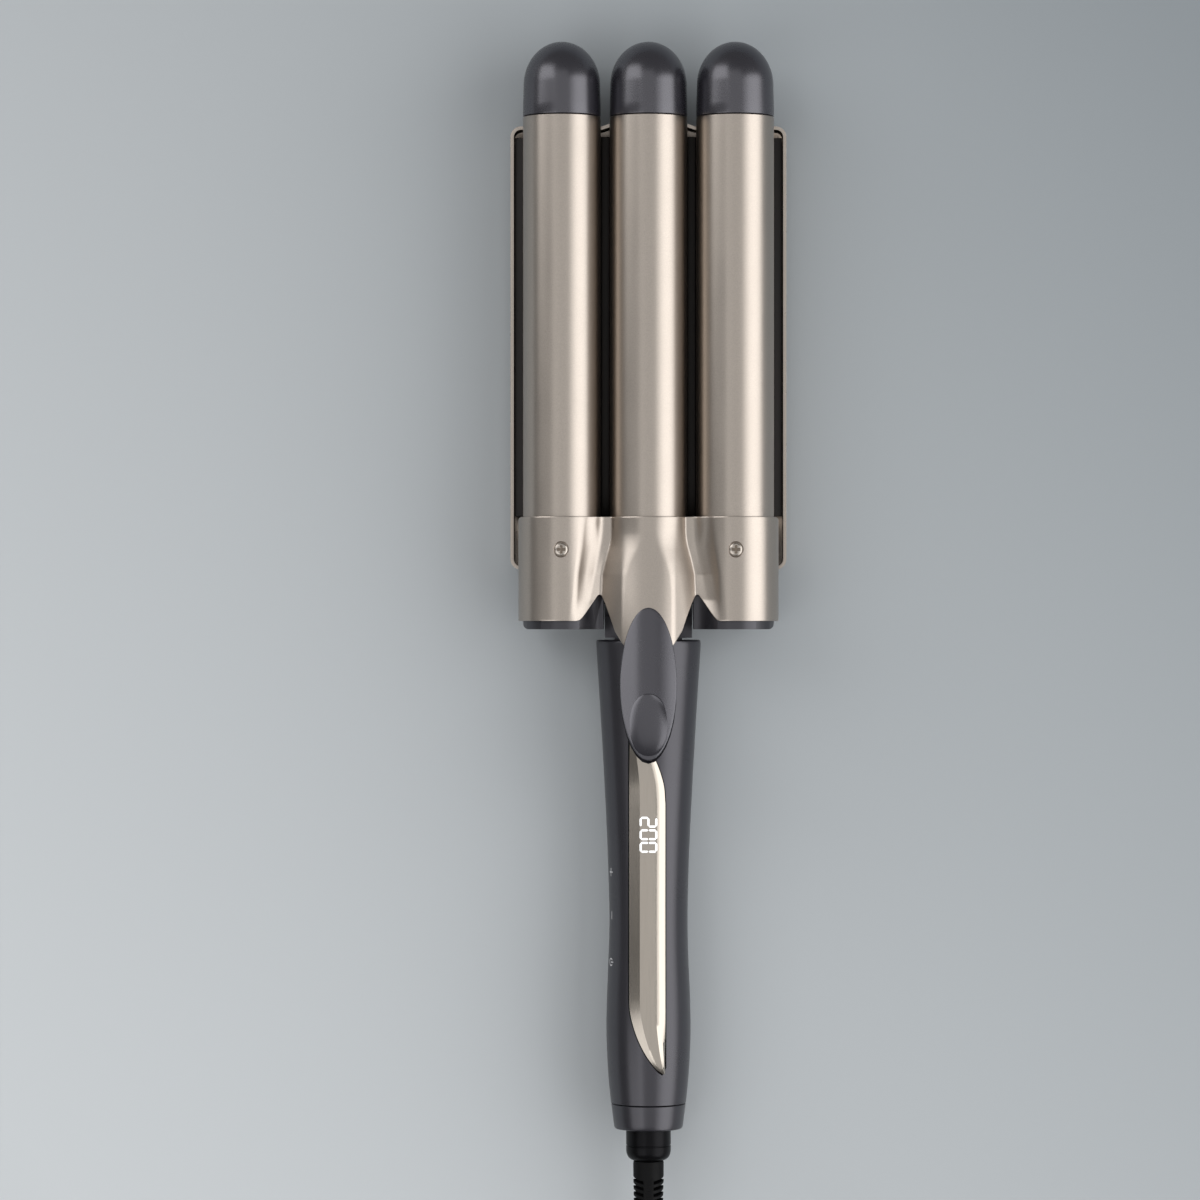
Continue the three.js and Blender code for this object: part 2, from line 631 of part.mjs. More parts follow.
// The neck: a round head about the hinge, a foot in the tray and a plug in the handle.
function neckOutline() {
  const shape = new THREE.Shape();
  const low = handleTop + NECK_TO_HANDLE;
  const footTop = trayFloorTop + NECK_FOOT_THICKNESS;
  const footEnd = NECK_ROUND + NECK_FOOT_LENGTH;
  const shoulder = Math.asin((NECK_TOP_LEVEL - hingeZ) / NECK_ROUND);
  shape.moveTo(low + 1, trayFloorTop);
  shape.lineTo(footEnd, trayFloorTop);
  shape.lineTo(footEnd, footTop);
  shape.lineTo(NECK_ROUND, footTop);
  shape.absarc(0, hingeZ, NECK_ROUND, 0, Math.PI - shoulder);
  shape.lineTo(low, NECK_TOP_LEVEL - 1);
  shape.lineTo(low, NECK_BOTTOM);
  return shape;
}

function neck() {
  const half = NECK_WIDTH / 2;
  const [plugLow, plugHigh] = [HANDLE_AXIS_HEIGHT - PLUG_DEPTH / 2, HANDLE_AXIS_HEIGHT + PLUG_DEPTH / 2];
  const plugEnd = handleTop + NECK_TO_HANDLE - PLUG_LENGTH;
  const pocketHalf = SPRING_POCKET / 2;
  const pocketTop = hingeZ + NECK_ROUND + 1;
  const footHalf = half - NECK_FOOT_INSET;
  const footLow = TRAY_ABOVE_HINGE - FIT;
  let piece = join(
    sideBody(neckOutline(), -half, half, 8),
    block(-PLUG_WIDTH / 2, PLUG_WIDTH / 2, plugEnd, handleTop + NECK_TO_HANDLE + 1, plugLow, plugHigh),
  );
  piece = cut(
    piece,
    barX(PIN_DIAMETER / 2 + FIT / 3, -half - 1, half + 1, 0, hingeZ),
    block(-pocketHalf, pocketHalf, -springReach, springReach, hingeZ - springReach, pocketTop),
    springLegSlot(-springHalf, hingeZ - springReach, pocketTop),
    springLegSlot(springHalf, hingeZ, pocketTop),
    barZ(HANDLE_SCREW.boss + FIT, 0, FAR / 8, 0, handleTop - HANDLE_SCREW.belowTop, 16),
    block(-half - 1, -footHalf, footLow, FAR, 0, FAR / 8),
    block(footHalf, half + 1, footLow, FAR, 0, FAR / 8),
  );
  const boreTop = jawScrewSeat + FOOT_SCREW_LENGTH + 2 * FIT;
  for (const x of [-FOOT_SCREW_ACROSS, FOOT_SCREW_ACROSS])
    piece = cut(piece, barZ(JAW_SCREW.shank / 2 + FIT / 2, 0, boreTop, x, FOOT_SCREW_UP, 12));
  return piece;
}

place(body, "neck", neck(), greyPlastic);

// Rear jaw: tray, back cover, insulating sheet, corrugated plate and their screws
function trayPlan(inset) {
  const [x1, y0] = [trayHalf - inset, TRAY_ABOVE_HINGE + inset];
  const y1 = trayTop - inset;
  const r = TRAY_CORNER - inset / 2;
  const [crownIn, crownOut] = TRAY_CROWN_EDGES;
  const shape = new THREE.Shape();
  shape.absarc(x1 - r, y1 - r, r, 0, Math.PI / 2);
  shape.lineTo(crownOut, y1);
  shape.lineTo(crownIn, y1 + TRAY_CROWN);
  shape.lineTo(-crownIn, y1 + TRAY_CROWN);
  shape.lineTo(-crownOut, y1);
  shape.absarc(-x1 + r, y1 - r, r, Math.PI / 2, Math.PI);
  shape.absarc(-x1 + r, y0 + r, r, Math.PI, 1.5 * Math.PI);
  shape.absarc(x1 - r, y0 + r, r, 1.5 * Math.PI, 2 * Math.PI);
  return shape;
}

const postSpots = [-1, 1].flatMap((side) => [
  [(side * BARREL_PITCH) / 2, plateLow() + POST_INSET],
  [(side * BARREL_PITCH) / 2, plateHigh() - POST_INSET],
]);

function plateLow() {
  return NECK_ROUND + NECK_FOOT_LENGTH + 2;
}

function plateHigh() {
  return trayTop - TRAY_WALL - PLATE_END_GAP;
}

const jawScrewSpots = [
  ...postSpots,
  [-FOOT_SCREW_ACROSS, FOOT_SCREW_UP],
  [FOOT_SCREW_ACROSS, FOOT_SCREW_UP],
];
function rearTray() {
  const rim = BACK_THICKNESS + TRAY_DEPTH;
  const [wallLow, wallHigh] = [TRAY_ABOVE_HINGE - 1, TRAY_ABOVE_HINGE + TRAY_WALL + 1];
  const yokeReach = BARREL_PITCH + barrelRadius + YOKE_OVER_WALL;
  let tray = cut(
    planBody(trayPlan(0), BACK_THICKNESS, rim, 5),
    planBody(trayPlan(TRAY_WALL), trayFloorTop, rim + 1, 5),
    block(-slotHalf, slotHalf, wallLow, wallHigh, trayFloorTop, rim + 1),
    block(-yokeReach, yokeReach, wallLow, wallHigh, baseBottom - YOKE_OVER_WALL, rim + 1),
  );
  for (const [, x] of laneX)
    tray = cut(tray, barY(barrelRadius + HAIR_GAP, trayTop - TRAY_CORNER, trayTop + 2, x, barrelZ, 32));
  for (const [x, y] of jawScrewSpots)
    tray = cut(tray, barZ(JAW_SCREW.shank / 2 + FIT / 2, 0, trayFloorTop + 1, x, y, 8));
  return tray;
}

function backCover() {
  const [x, y0, y1] = [trayHalf - BACK_MARGIN, TRAY_ABOVE_HINGE + BACK_MARGIN, trayTop - BACK_MARGIN];
  const inner = roundedBox(-x + BACK_BEVEL, x - BACK_BEVEL, y0 + BACK_BEVEL, y1 - BACK_BEVEL, TRAY_CORNER);
  const outer = roundedBox(-x, x, y0, y1, TRAY_CORNER + BACK_BEVEL);
  let cover = join(planBody(inner, 0, BACK_THICKNESS, 3), planBody(outer, BACK_BEVEL, BACK_THICKNESS, 3));
  for (const [sx, sy] of jawScrewSpots)
    cover = cut(
      cover,
      barZ(JAW_SCREW.head / 2 + FIT, -1, jawScrewSeat, sx, sy),
      barZ(JAW_SCREW.shank / 2 + FIT / 2, 0, BACK_THICKNESS + 1, sx, sy, 8),
    );
  return cover;
}

function jawScrew(length) {
  return join(
    barZ(JAW_SCREW.head / 2, JAW_SCREW.sink, jawScrewSeat, 0, 0),
    barZ(JAW_SCREW.shank / 2, jawScrewSeat - BITE, jawScrewSeat + length, 0, 0, 8),
  );
}

// Upper or lower contour of the corrugated plate, from left to right, as arcs and flats.
function plateContour(shape, radius, ridge, flangeLevel, forward) {
  const flangeAngle = Math.asin((flangeLevel - barrelZ) / radius);
  const ridgeAngle = Math.asin((ridge - barrelZ) / radius);
  const arcs = [
    [-BARREL_PITCH, -Math.PI - flangeAngle, ridgeAngle],
    [0, -Math.PI - ridgeAngle, ridgeAngle],
    [BARREL_PITCH, -Math.PI - ridgeAngle, flangeAngle],
  ];
  if (forward) for (const [x, from, to] of arcs) shape.absarc(x, barrelZ, radius, from, to, false);
  else for (const [x, from, to] of arcs.reverse()) shape.absarc(x, barrelZ, radius, to, from, true);
}

function clampPlate() {
  const ridge = barrelZ - RIDGE_UNDER_AXIS;
  const flange = barrelZ - FLANGE_UNDER_AXIS;
  const reach = trayHalf - TRAY_WALL - FIT;
  const groove = barrelRadius + HAIR_GAP;
  const shape = new THREE.Shape();
  shape.moveTo(-reach, flange - PLATE_THICKNESS);
  plateContour(shape, groove + PLATE_THICKNESS, ridge - RIDGE_THICKNESS, flange - PLATE_THICKNESS, true);
  shape.lineTo(reach, flange - PLATE_THICKNESS);
  shape.lineTo(reach, flange);
  plateContour(shape, groove, ridge, flange, false);
  shape.lineTo(-reach, flange);
  let plate = lengthBody(shape, plateLow(), plateHigh(), { curveSegments: 5 });
  const postTop = ridge - RIDGE_THICKNESS + BITE;
  const boreTop = jawScrewSeat + POST_SCREW_LENGTH + FIT;
  for (const [x, y] of postSpots) {
    const post = barZ(POST_RADIUS, trayFloorTop, postTop, x, y);
    const bore = barZ(JAW_SCREW.shank / 2 + FIT / 2, trayFloorTop - 1, boreTop, x, y, 12);
    plate = cut(join(plate, post), bore);
  }
  return plate;
}

function insulatingSheet() {
  const reach = trayHalf - TRAY_WALL - SHEET_MARGIN;
  const shape = roundedBox(-reach, reach, plateLow(), plateHigh(), TRAY_CORNER);
  for (const [x, y] of postSpots)
    shape.holes.push(new THREE.Path().absarc(x, y, POST_RADIUS + FIT, 0, 2 * Math.PI, true));
  return planBody(shape, trayFloorTop, trayFloorTop + SHEET_THICKNESS, 8);
}

place(body, "rear_tray", rearTray(), champagne);
place(body, "back_cover", backCover(), blackPlastic);
place(body, "insulating_sheet", insulatingSheet(), ceramic);
place(body, "clamp_plate", clampPlate(), darkPlate);
const postScrewNames = ["plate_screw_1", "plate_screw_2", "plate_screw_3", "plate_screw_4"];
const postScrew = jawScrew(POST_SCREW_LENGTH);
postSpots.forEach(([x, y], i) => place(body, postScrewNames[i], postScrew, steel, [x, y, 0]));
const footScrew = jawScrew(FOOT_SCREW_LENGTH);
place(body, "foot_screw_left", footScrew, steel, [-FOOT_SCREW_ACROSS, FOOT_SCREW_UP, 0]);
place(body, "foot_screw_right", footScrew, steel, [FOOT_SCREW_ACROSS, FOOT_SCREW_UP, 0]);

// Handle: half width and half depth at a station, from a smooth curve through the main sizes.
const mix = (a, b, share) => [0, 1].map((i) => a[i] + (b[i] - a[i]) * share);
const handleStations = [
  [0, HANDLE_TOP],
  [0.225, mix(HANDLE_TOP, HANDLE_WAIST, 0.5)],
  [0.43, mix(HANDLE_TOP, HANDLE_WAIST, 0.875)],
  [0.59, HANDLE_WAIST],
  [0.735, mix(HANDLE_WAIST, HANDLE_BULGE, 0.84)],
  [0.805, HANDLE_BULGE],
  [0.9, mix(HANDLE_BULGE, HANDLE_END, 0.29)],
  [1, HANDLE_END],
];
const handleCurve = new THREE.CubicInterpolant(
  Float32Array.from(handleStations, ([share]) => share),
  Float32Array.from(handleStations.flatMap(([, size]) => size)),
  2,
  new Float32Array(2),
);

function handleHalves(y) {
  const share = THREE.MathUtils.clamp((handleTop - y) / HANDLE_LENGTH, 0, 1);
  const [width, depth] = handleCurve.evaluate(share);
  return [width / 2, depth / 2];
}

// The handle's form between two stations, grown or shrunk by an offset. Its rings stay at the
// same stations whatever stretch is taken, so that nested forms lie evenly apart.
function handleForm(low, high, offset, sides = 20) {
  const spare = 3;
  const rings = 11;
  const points = [new THREE.Vector2(0, handleEnd - spare)];
  const squash = [1];
  for (let i = 0; i <= rings; i++) {
    const y = handleEnd - spare + ((HANDLE_LENGTH + 2 * spare) * i) / rings;
    const [half, deep] = handleHalves(y);
    points.push(new THREE.Vector2(half + offset, y));
    squash.push((deep + offset) / (half + offset));
  }
  points.push(new THREE.Vector2(0, handleTop + spare));
  squash.push(1);
  const form = new THREE.LatheGeometry(points, sides);
  const spot = form.attributes.position;
  for (let i = 0; i < spot.count; i++) spot.setZ(i, spot.getZ(i) * squash[i % points.length]);
  const stretch = block(-FAR, FAR, low, high, -FAR, FAR);
  return solid(form.translate(0, 0, HANDLE_AXIS_HEIGHT)).intersect(stretch);
}

// A closed outline's points moved outwards by a distance
function grown(points, by) {
  const count = points.length;
  return points.map((here, i) => {
    const before = points[(i + count - 1) % count];
    const after = points[(i + 1) % count];
    const one = here.clone().sub(before).normalize();
    const two = after.clone().sub(here).normalize();
    const side = one.add(two).normalize();
    const stretch = 1 / Math.max(0.6, Math.abs(side.dot(two)));
    return [here.x - side.y * by * stretch, here.y + side.x * by * stretch];
  });
}

function inlayPlan(grow) {
  const up = ([x, y]) => new THREE.Vector2(x, handleEnd + y);
  const down = ([x, y]) => new THREE.Vector2(x, handleTop - y);
  const foot = new THREE.SplineCurve([
    up([INLAY_LEFT, INLAY_FOOT_START]),
    ...INLAY_FOOT_CURVE.map(up),
    up(INLAY_FOOT_TIP),
    up([INLAY_RIGHT, INLAY_FOOT_TIP[1] + INLAY_TIP_ROUND]),
  ]);
  const head = new THREE.SplineCurve([
    down([INLAY_RIGHT, INLAY_HEAD_START]),
    ...INLAY_HEAD_CURVE.map(down),
    down(INLAY_HEAD_TIP),
    down([INLAY_LEFT, INLAY_HEAD_TIP[1] + INLAY_TIP_ROUND]),
  ]);
  return outline(grown([...foot.getPoints(14), ...head.getPoints(14)].reverse(), grow));
}

const boardTop = HANDLE_AXIS_HEIGHT + BOARD.level;
const buttonZ = HANDLE_AXIS_HEIGHT - BUTTON_DROP;

function handleShells() {
  const outer = handleForm(capSeam + FIT / 2, handleTop, 0);
  const inner = handleForm(capSeam - 1, handleTop - HANDLE_TOP_WALL, -HANDLE_WALL);
  const mouth = block(
    -PLUG_WIDTH / 2 - FIT,
    PLUG_WIDTH / 2 + FIT,
    handleTop - HANDLE_TOP_WALL - 1,
    handleTop + 1,
    HANDLE_AXIS_HEIGHT - PLUG_DEPTH / 2 - FIT,
    HANDLE_AXIS_HEIGHT + PLUG_DEPTH / 2 + FIT,
  );
  const shell = cut(outer, inner, mouth);
  const above = block(-FAR, FAR, handleEnd - 1, handleTop + 1, splitZ + FIT / 2, FAR);
  const below = block(-FAR, FAR, handleEnd - 1, handleTop + 1, -FAR, splitZ - FIT / 2);
  return [shell.intersect(above), shell.intersect(below)];
}

const [frontShell, backShell] = handleShells();
const screwStations = [handleTop - HANDLE_SCREW.belowTop, handleEnd + HANDLE_SCREW.aboveEnd];
const boardHead = handleTop - BOARD.belowTop;
const boardFoot = handleEnd + BOARD.aboveEnd;
const buttonStations = BUTTONS_BELOW_TOP.map(([name, down]) => [name, handleTop - down]);

// Screw posts reach from the back shell's screws up to the front shell.
function frontHandle() {
  const inlayRoom = cut(
    handleForm(-FAR, FAR, INLAY_DEPTH),
    handleForm(-FAR, FAR, -INLAY_DEPTH - FIT),
  ).intersect(planBody(inlayPlan(FIT), HANDLE_AXIS_HEIGHT, FAR / 4, 5));
  const roomy = handleForm(-FAR, FAR, -HANDLE_WALL + BITE);
  let shell = cut(frontShell, inlayRoom);
  for (const y of screwStations) {
    const post = barZ(HANDLE_SCREW.boss, splitZ + FIT / 2, FAR / 8, 0, y).intersect(roomy);
    const bore = barZ(HANDLE_SCREW.shank / 2 + FIT / 2, 0, splitZ + HANDLE_SCREW.grip + 1, 0, y, 8);
    shell = cut(join(shell, post), bore);
  }
  const [ribHalf, ribAlong] = [BOARD_RIB.width / 2, BOARD_RIB.length / 2];
  for (const y of [boardHead - BOARD_RIB.fromTop, boardFoot + BOARD_RIB.fromBottom]) {
    const rib = block(-ribHalf, ribHalf, y - ribAlong, y + ribAlong, boardTop + FIT, FAR / 8);
    shell = join(shell, rib.intersect(roomy));
  }
  for (const [, y] of buttonStations) {
    const [half, tall] = [BUTTON_LENGTH / 2 + FIT, BUTTON_HEIGHT / 2 + FIT];
    shell = cut(shell, block(-FAR, 0, y - half, y + half, buttonZ - tall, buttonZ + tall));
  }
  return shell;
}

function backHandle() {
  let shell = backShell;
  const roomy = handleForm(-FAR, FAR, -HANDLE_WALL + BITE);
  for (const y of screwStations) {
    const seat = screwSeat(y);
    const post = barZ(HANDLE_SCREW.boss, 0, splitZ - FIT / 2, 0, y).intersect(roomy);
    shell = cut(
      join(shell, post),
      barZ(HANDLE_SCREW.head / 2 + FIT / 2, -1, seat, 0, y),
      barZ(HANDLE_SCREW.shank / 2 + FIT / 2, 0, splitZ, 0, y, 8),
    );
  }
  return shell;
}

// Height of the shoulder under a handle screw's head
function screwSeat(y) {
  const surface = HANDLE_AXIS_HEIGHT - handleHalves(y)[1];
  return surface + HANDLE_SCREW.sink + HANDLE_SCREW.headHeight;
}

function handleScrew(y) {
  const seat = screwSeat(y);
  return join(
    barZ(HANDLE_SCREW.head / 2, seat - HANDLE_SCREW.headHeight, seat, 0, y),
    barZ(HANDLE_SCREW.shank / 2, seat - BITE, splitZ + HANDLE_SCREW.grip, 0, y, 8),
  );
}

function inlayPanel() {
  const skin = cut(
    handleForm(-FAR, FAR, INLAY_PROUD),
    handleForm(-FAR, FAR, -INLAY_DEPTH),
  );
  return skin.intersect(planBody(inlayPlan(0), HANDLE_AXIS_HEIGHT, FAR / 4, 5));
}

function controlButton(y) {
  const [half, tall] = [BUTTON_LENGTH / 2, BUTTON_HEIGHT / 2];
  const [lipHalf, lipTall] = [half + BUTTON_LIP, tall + BUTTON_LIP];
  const lipInner = HANDLE_WALL + FIT + BUTTON_LIP_THICKNESS;
  const face = block(-FAR, 0, y - half, y + half, buttonZ - tall, buttonZ + tall);
  const lip = block(-FAR, 0, y - lipHalf, y + lipHalf, buttonZ - lipTall, buttonZ + lipTall);
  const skin = join(
    face.intersect(handleForm(-FAR, FAR, 0)),
    lip.intersect(handleForm(-FAR, FAR, -HANDLE_WALL - FIT)),
  );
  const stemStart = lipInner - BITE - handleHalves(y)[0];
  const stemEnd = plungerFace - BUTTON_TRAVEL - BUTTON_REST_GAP;
  const stem = barX(BUTTON_STEM_RADIUS, stemStart, stemEnd, y, buttonZ, 12);
  return join(cut(skin, handleForm(-FAR, FAR, -lipInner)), stem);
}

const plungerFace = SIDE_BOARD.from - SWITCH.thickness - SWITCH.plungerOut;

function tactSwitch(y) {
  const half = SWITCH.size / 2;
  const face = SIDE_BOARD.from - SWITCH.thickness;
  return join(
    block(face, SIDE_BOARD.from, y - half, y + half, buttonZ - half, buttonZ + half),
    barX(SWITCH.plunger, plungerFace, face + BITE, y, buttonZ, 12),
  );
}

place(body, "handle_front", frontHandle(), greyPlastic);
place(body, "handle_back", backHandle(), greyPlastic);
place(body, "handle_screw_upper", handleScrew(screwStations[0]), steel);
place(body, "handle_screw_lower", handleScrew(screwStations[1]), steel);
place(body, "inlay_panel", inlayPanel(), glossChampagne);
const boardHalf = BOARD.width / 2;
const boardUnder = boardTop - BOARD.thickness;
const mainBoard = cut(
  block(-boardHalf, boardHalf, boardFoot, boardHead, boardUnder, boardTop),
  barZ(HANDLE_SCREW.boss + FIT, 0, FAR / 8, 0, screwStations[1]),
);
place(body, "main_board", mainBoard, boardGreen);

function displayModule() {
  const [half, along] = [DISPLAY.width / 2, DISPLAY.length / 2];
  const station = handleTop - DISPLAY.belowTop;
  const [low, high] = [station - along, station + along];
  return block(-half, half, low, high, boardTop, boardTop + DISPLAY.thickness);
}

function buttonBoard() {
  const { from, thickness, depth, past } = SIDE_BOARD;
  const stations = buttonStations.map(([, y]) => y);
  const [low, high] = [Math.min(...stations) - past, Math.max(...stations) + past];
  return block(from, from + thickness, low, high, boardUnder - depth, boardUnder);
}

place(body, "display_module", displayModule(), blackPlastic);
place(body, "button_board", buttonBoard(), boardGreen);
for (const [name, y] of buttonStations) {
  place(body, "button_" + name, controlButton(y), blackPlastic);
  place(body, "switch_" + name, tactSwitch(y), blackPlastic);
}

// Thumb lever: both its layers lie in a plane that clears the handle when pressed home.
const openAngle = THREE.MathUtils.degToRad(OPEN_DEGREES);

// Lowest height at a station that still clears the handle with the jaw fully open
function clearHeight(y) {
  const surface = HANDLE_AXIS_HEIGHT + handleHalves(Math.min(y, handleTop))[1] + INLAY_PROUD + LEVER_CLEAR;
  return hingeZ + (surface - hingeZ - y * Math.sin(openAngle)) / Math.cos(openAngle);
}

const leverHead = LEVER_STATION + LEVER_LENGTH / 2;
const leverFoot = LEVER_STATION - LEVER_LENGTH / 2 - ARM_PAST_PAD;
const shoulderZ = clearHeight(LEVER_SHOULDER);
const leverTilt = Math.atan2(clearHeight(leverFoot) - shoulderZ, LEVER_SHOULDER - leverFoot);
const armUnder = (y) => shoulderZ + (LEVER_SHOULDER - y) * Math.tan(leverTilt);

// An upright oval column over the lever, cut by planes parallel to the pad.
function ovalColumn(halfWidth, low, high) {
  const [middle, halfLength] = [(low + high) / 2, (high - low) / 2];
  const shape = new THREE.Shape().absellipse(0, middle, halfWidth, halfLength, 0, 2 * Math.PI);
  return planBody(shape, 0, FAR / 4, 14);
}

// A slab over the arm's underside, with a thickness at the lever's foot and another at its head
function slantedSlab(rise, footThickness, headThickness) {
  const shape = outline([
    [leverFoot, armUnder(leverFoot) + rise],
    [leverHead, armUnder(leverHead) + rise],
    [leverHead, armUnder(leverHead) + rise + headThickness],
    [leverFoot, armUnder(leverFoot) + rise + footThickness],
  ]);
  return sideBody(shape, -LEVER_WIDTH, LEVER_WIDTH);
}

function leverArm() {
  const slab = slantedSlab(0, ARM_THICKNESS, ARM_THICKNESS);
  const oval = ovalColumn(LEVER_WIDTH / 2, leverFoot, leverHead);
  const paddle = cut(slab.intersect(oval), lobeRoom(LEVER_SHOULDER - FIT));
  const [low, shankTop] = [LEVER_SHOULDER - SHANK_UNDER_PADDLE, webTop + SHANK_THICKNESS];
  const shank = outline([
    [low, armUnder(low) + BITE],
    [LEVER_SHOULDER, shoulderZ],
    [SHANK_KNEE[0], webTop],
    [SHANK_END, webTop],
    [SHANK_END, shankTop],
    [SHANK_KNEE[1], shankTop],
    [LEVER_SHOULDER, shoulderZ + SHANK_THIN],
    [low, armUnder(low) + SHANK_THIN],
  ]);
  return cut(
    join(paddle, sideBody(shank, -SHANK_WIDTH / 2, SHANK_WIDTH / 2)),
    barZ(LEVER_SCREW.shank / 2 + FIT / 2, webBottom, FAR / 4, 0, LEVER_SCREW.station, 8),
  );
}

// The space under and in the yoke cover from a station upwards, with a clearance round it
function lobeRoom(low) {
  const options = { steps: 4, curveSegments: 6, shift: humpLift };
  const section = yokeSection(coverRadius + FIT, barrelZ + VALLEY_HEIGHT + FIT, barrelZ - COVER_SKIRT);
  return lengthBody(section, low, YOKE_ABOVE_HINGE, options);
}

function leverPad() {
  const half = LEVER_WIDTH / 2;
  const padFoot = leverFoot + ARM_PAST_PAD;
  const slab = slantedSlab(ARM_THICKNESS, PAD_FOOT_THICKNESS, PAD_HEAD_THICKNESS);
  const pad = slab.intersect(ovalColumn(half, padFoot, leverHead));
  const fall = PAD_HEAD_THICKNESS - PAD_FOOT_THICKNESS;
  const padTilt = Math.atan(Math.tan(leverTilt) - fall / (leverHead - leverFoot));
  const dishY = padFoot + DISH.fromEnd;
  const share = (dishY - leverFoot) / (leverHead - leverFoot);
  const dishZ = armUnder(dishY) + ARM_THICKNESS + PAD_FOOT_THICKNESS + fall * share;
  const bowl = new THREE.SphereGeometry(1, 20, 8);
  bowl.scale(DISH.width / 2, DISH.length / 2, DISH.depth);
  bowl.rotateX(-padTilt).translate(0, dishY, dishZ);
  return cut(pad, solid(bowl), lobeRoom(LEVER_SHOULDER - FIT));
}

function leverScrew() {
  const { station, head, headHeight, shank, length } = LEVER_SCREW;
  const seat = webTop + SHANK_THICKNESS;
  return join(
    barZ(head / 2, seat, seat + headHeight, 0, station),
    barZ(shank / 2, seat - length, seat + BITE, 0, station, 8),
  );
}

place(jaw, "lever_arm", leverArm(), blackPlastic);
place(jaw, "lever_pad", leverPad(), greyPlastic);
place(jaw, "lever_screw", leverScrew(), steel);

// End cap, swivel collar and strain relief, all on the handle's axis
const collarRadius = COLLAR_DIAMETER / 2;

function endCap() {
  const spigotLow = capSeam - CAP_SPIGOT / 2;
  const spigotIn = -HANDLE_WALL - FIT - CAP_SPIGOT_WALL;
  const outer = handleForm(handleEnd, capSeam - FIT / 2, 0);
  const spigot = handleForm(spigotLow, capSeam + CAP_SPIGOT, -HANDLE_WALL - FIT);
  const hollow = handleForm(handleEnd + CAP_FLOOR, spigotLow, -HANDLE_WALL);
  const spigotHollow = handleForm(spigotLow - BITE, capSeam + CAP_SPIGOT + 1, spigotIn);
  const mouthTop = handleEnd + CAP_FLOOR + 1;
  const mouth = barY(collarRadius + FIT, handleEnd - 1, mouthTop, 0, HANDLE_AXIS_HEIGHT, 24);
  return cut(join(cut(outer, hollow), spigot), spigotHollow, mouth);
}

function swivelCollar() {
  const flangeLow = handleEnd + CAP_FLOOR + FIT;
  return turned([
    [0, collarEnd],
    [RELIEF_DIAMETER / 2, collarEnd],
    [collarRadius, collarEnd + COLLAR_CHAMFER],
    [collarRadius, flangeLow],
    [collarRadius + COLLAR_FLANGE_OUT, flangeLow],
    [collarRadius + COLLAR_FLANGE_OUT, flangeLow + COLLAR_FLANGE],
    [0, flangeLow + COLLAR_FLANGE],
  ]);
}

function strainRelief() {
  const [top, end] = [RELIEF_DIAMETER / 2, RELIEF_END_DIAMETER / 2];
  const sleeve = turned([
    [0, reliefEnd],
    [end, reliefEnd],
    [top, collarEnd - RELIEF_PLAIN],
    [top, collarEnd - FIT],
    [0, collarEnd - FIT],
  ], 12);
  const webHalf = RELIEF_WEB / 2;
  const web = block(-webHalf, webHalf, reliefEnd - 1, collarEnd + 1, -top - 1, top + 1);
  let slotted = sleeve;
  for (let i = 0; i < RELIEF_SLOTS; i++) {
    const high = collarEnd - RELIEF_PLAIN - i * RELIEF_SLOT_PITCH;
    const ring = turned([
      [RELIEF_CORE_RADIUS, high - RELIEF_SLOT_WIDTH],
      [top + 1, high - RELIEF_SLOT_WIDTH],
      [top + 1, high],
      [RELIEF_CORE_RADIUS, high],
      [RELIEF_CORE_RADIUS, high - RELIEF_SLOT_WIDTH],
    ], 12);
    slotted = cut(slotted, cut(ring, web));
  }
  return slotted;
}

const onAxis = [0, 0, HANDLE_AXIS_HEIGHT];
place(body, "end_cap", endCap(), greyPlastic);
place(body, "swivel_collar", swivelCollar(), blackPlastic, onAxis);
place(body, "strain_relief", strainRelief(), rubber, onAxis);

// The cord: a short lead, a coil of two layers wound in and out again, and a tail to the plug.
const cordRadius = CORD_DIAMETER / 2;
const turnPitch = CORD_DIAMETER + CORD_GAP;
const coilLift = TIE_THICKNESS + 0.1;
const lowLayer = coilLift + cordRadius;
const highLayer = lowLayer + turnPitch;
const turnsIn = 4;
const coilOuter = COIL_INNER_RADIUS + turnPitch * turnsIn;
const leadStart = reliefEnd - FIT;
const leadEnd = leadStart - LEAD_LENGTH;
const coilCentre = [coilOuter, leadEnd - FIT - COIL_STRAIGHT];

function coilPoint(turn, target = new THREE.Vector3()) {
  const fromInside = Math.sqrt((turn - turnsIn) ** 2 + 0.01) - 0.1;
  const radius = COIL_INNER_RADIUS + turnPitch * fromInside;
  const angle = Math.PI + 2 * Math.PI * turn;
  const drop = THREE.MathUtils.smoothstep(turn, turnsIn - 0.25, turnsIn + 0.25);
  return target.set(
    coilCentre[0] + radius * Math.cos(angle),
    coilCentre[1] + radius * Math.sin(angle),
    highLayer + (lowLayer - highLayer) * drop,
  );
}

class CoilPath extends THREE.Curve {
  getPoint(t, target = new THREE.Vector3()) {
    const straightShare = 0.004;
    if (t < straightShare) {
      const start = coilPoint(0, target);
      return start.setY(start.y + COIL_STRAIGHT * (1 - t / straightShare));
    }
    if (t > 1 - straightShare) {
      const end = coilPoint(COIL_TURNS, target);
      return end.setY(end.y + COIL_STRAIGHT * (1 - (1 - t) / straightShare));
    }
    return coilPoint((COIL_TURNS * (t - straightShare)) / (1 - 2 * straightShare), target);
  }
}

// Least distance between points of the coil that aren't on the same stretch, less its diameter
function coilGap() {
  const perTurn = 72;
  const count = Math.round(COIL_TURNS * perTurn) + 1;
  const points = Array.from({ length: count }, (_, i) => coilPoint(i / perTurn));
  let least = Infinity;
  points.forEach((here, i) => {
    for (const there of points.slice(i + perTurn / 2)) least = Math.min(least, here.distanceTo(there));
  });
  return least - CORD_DIAMETER;
}

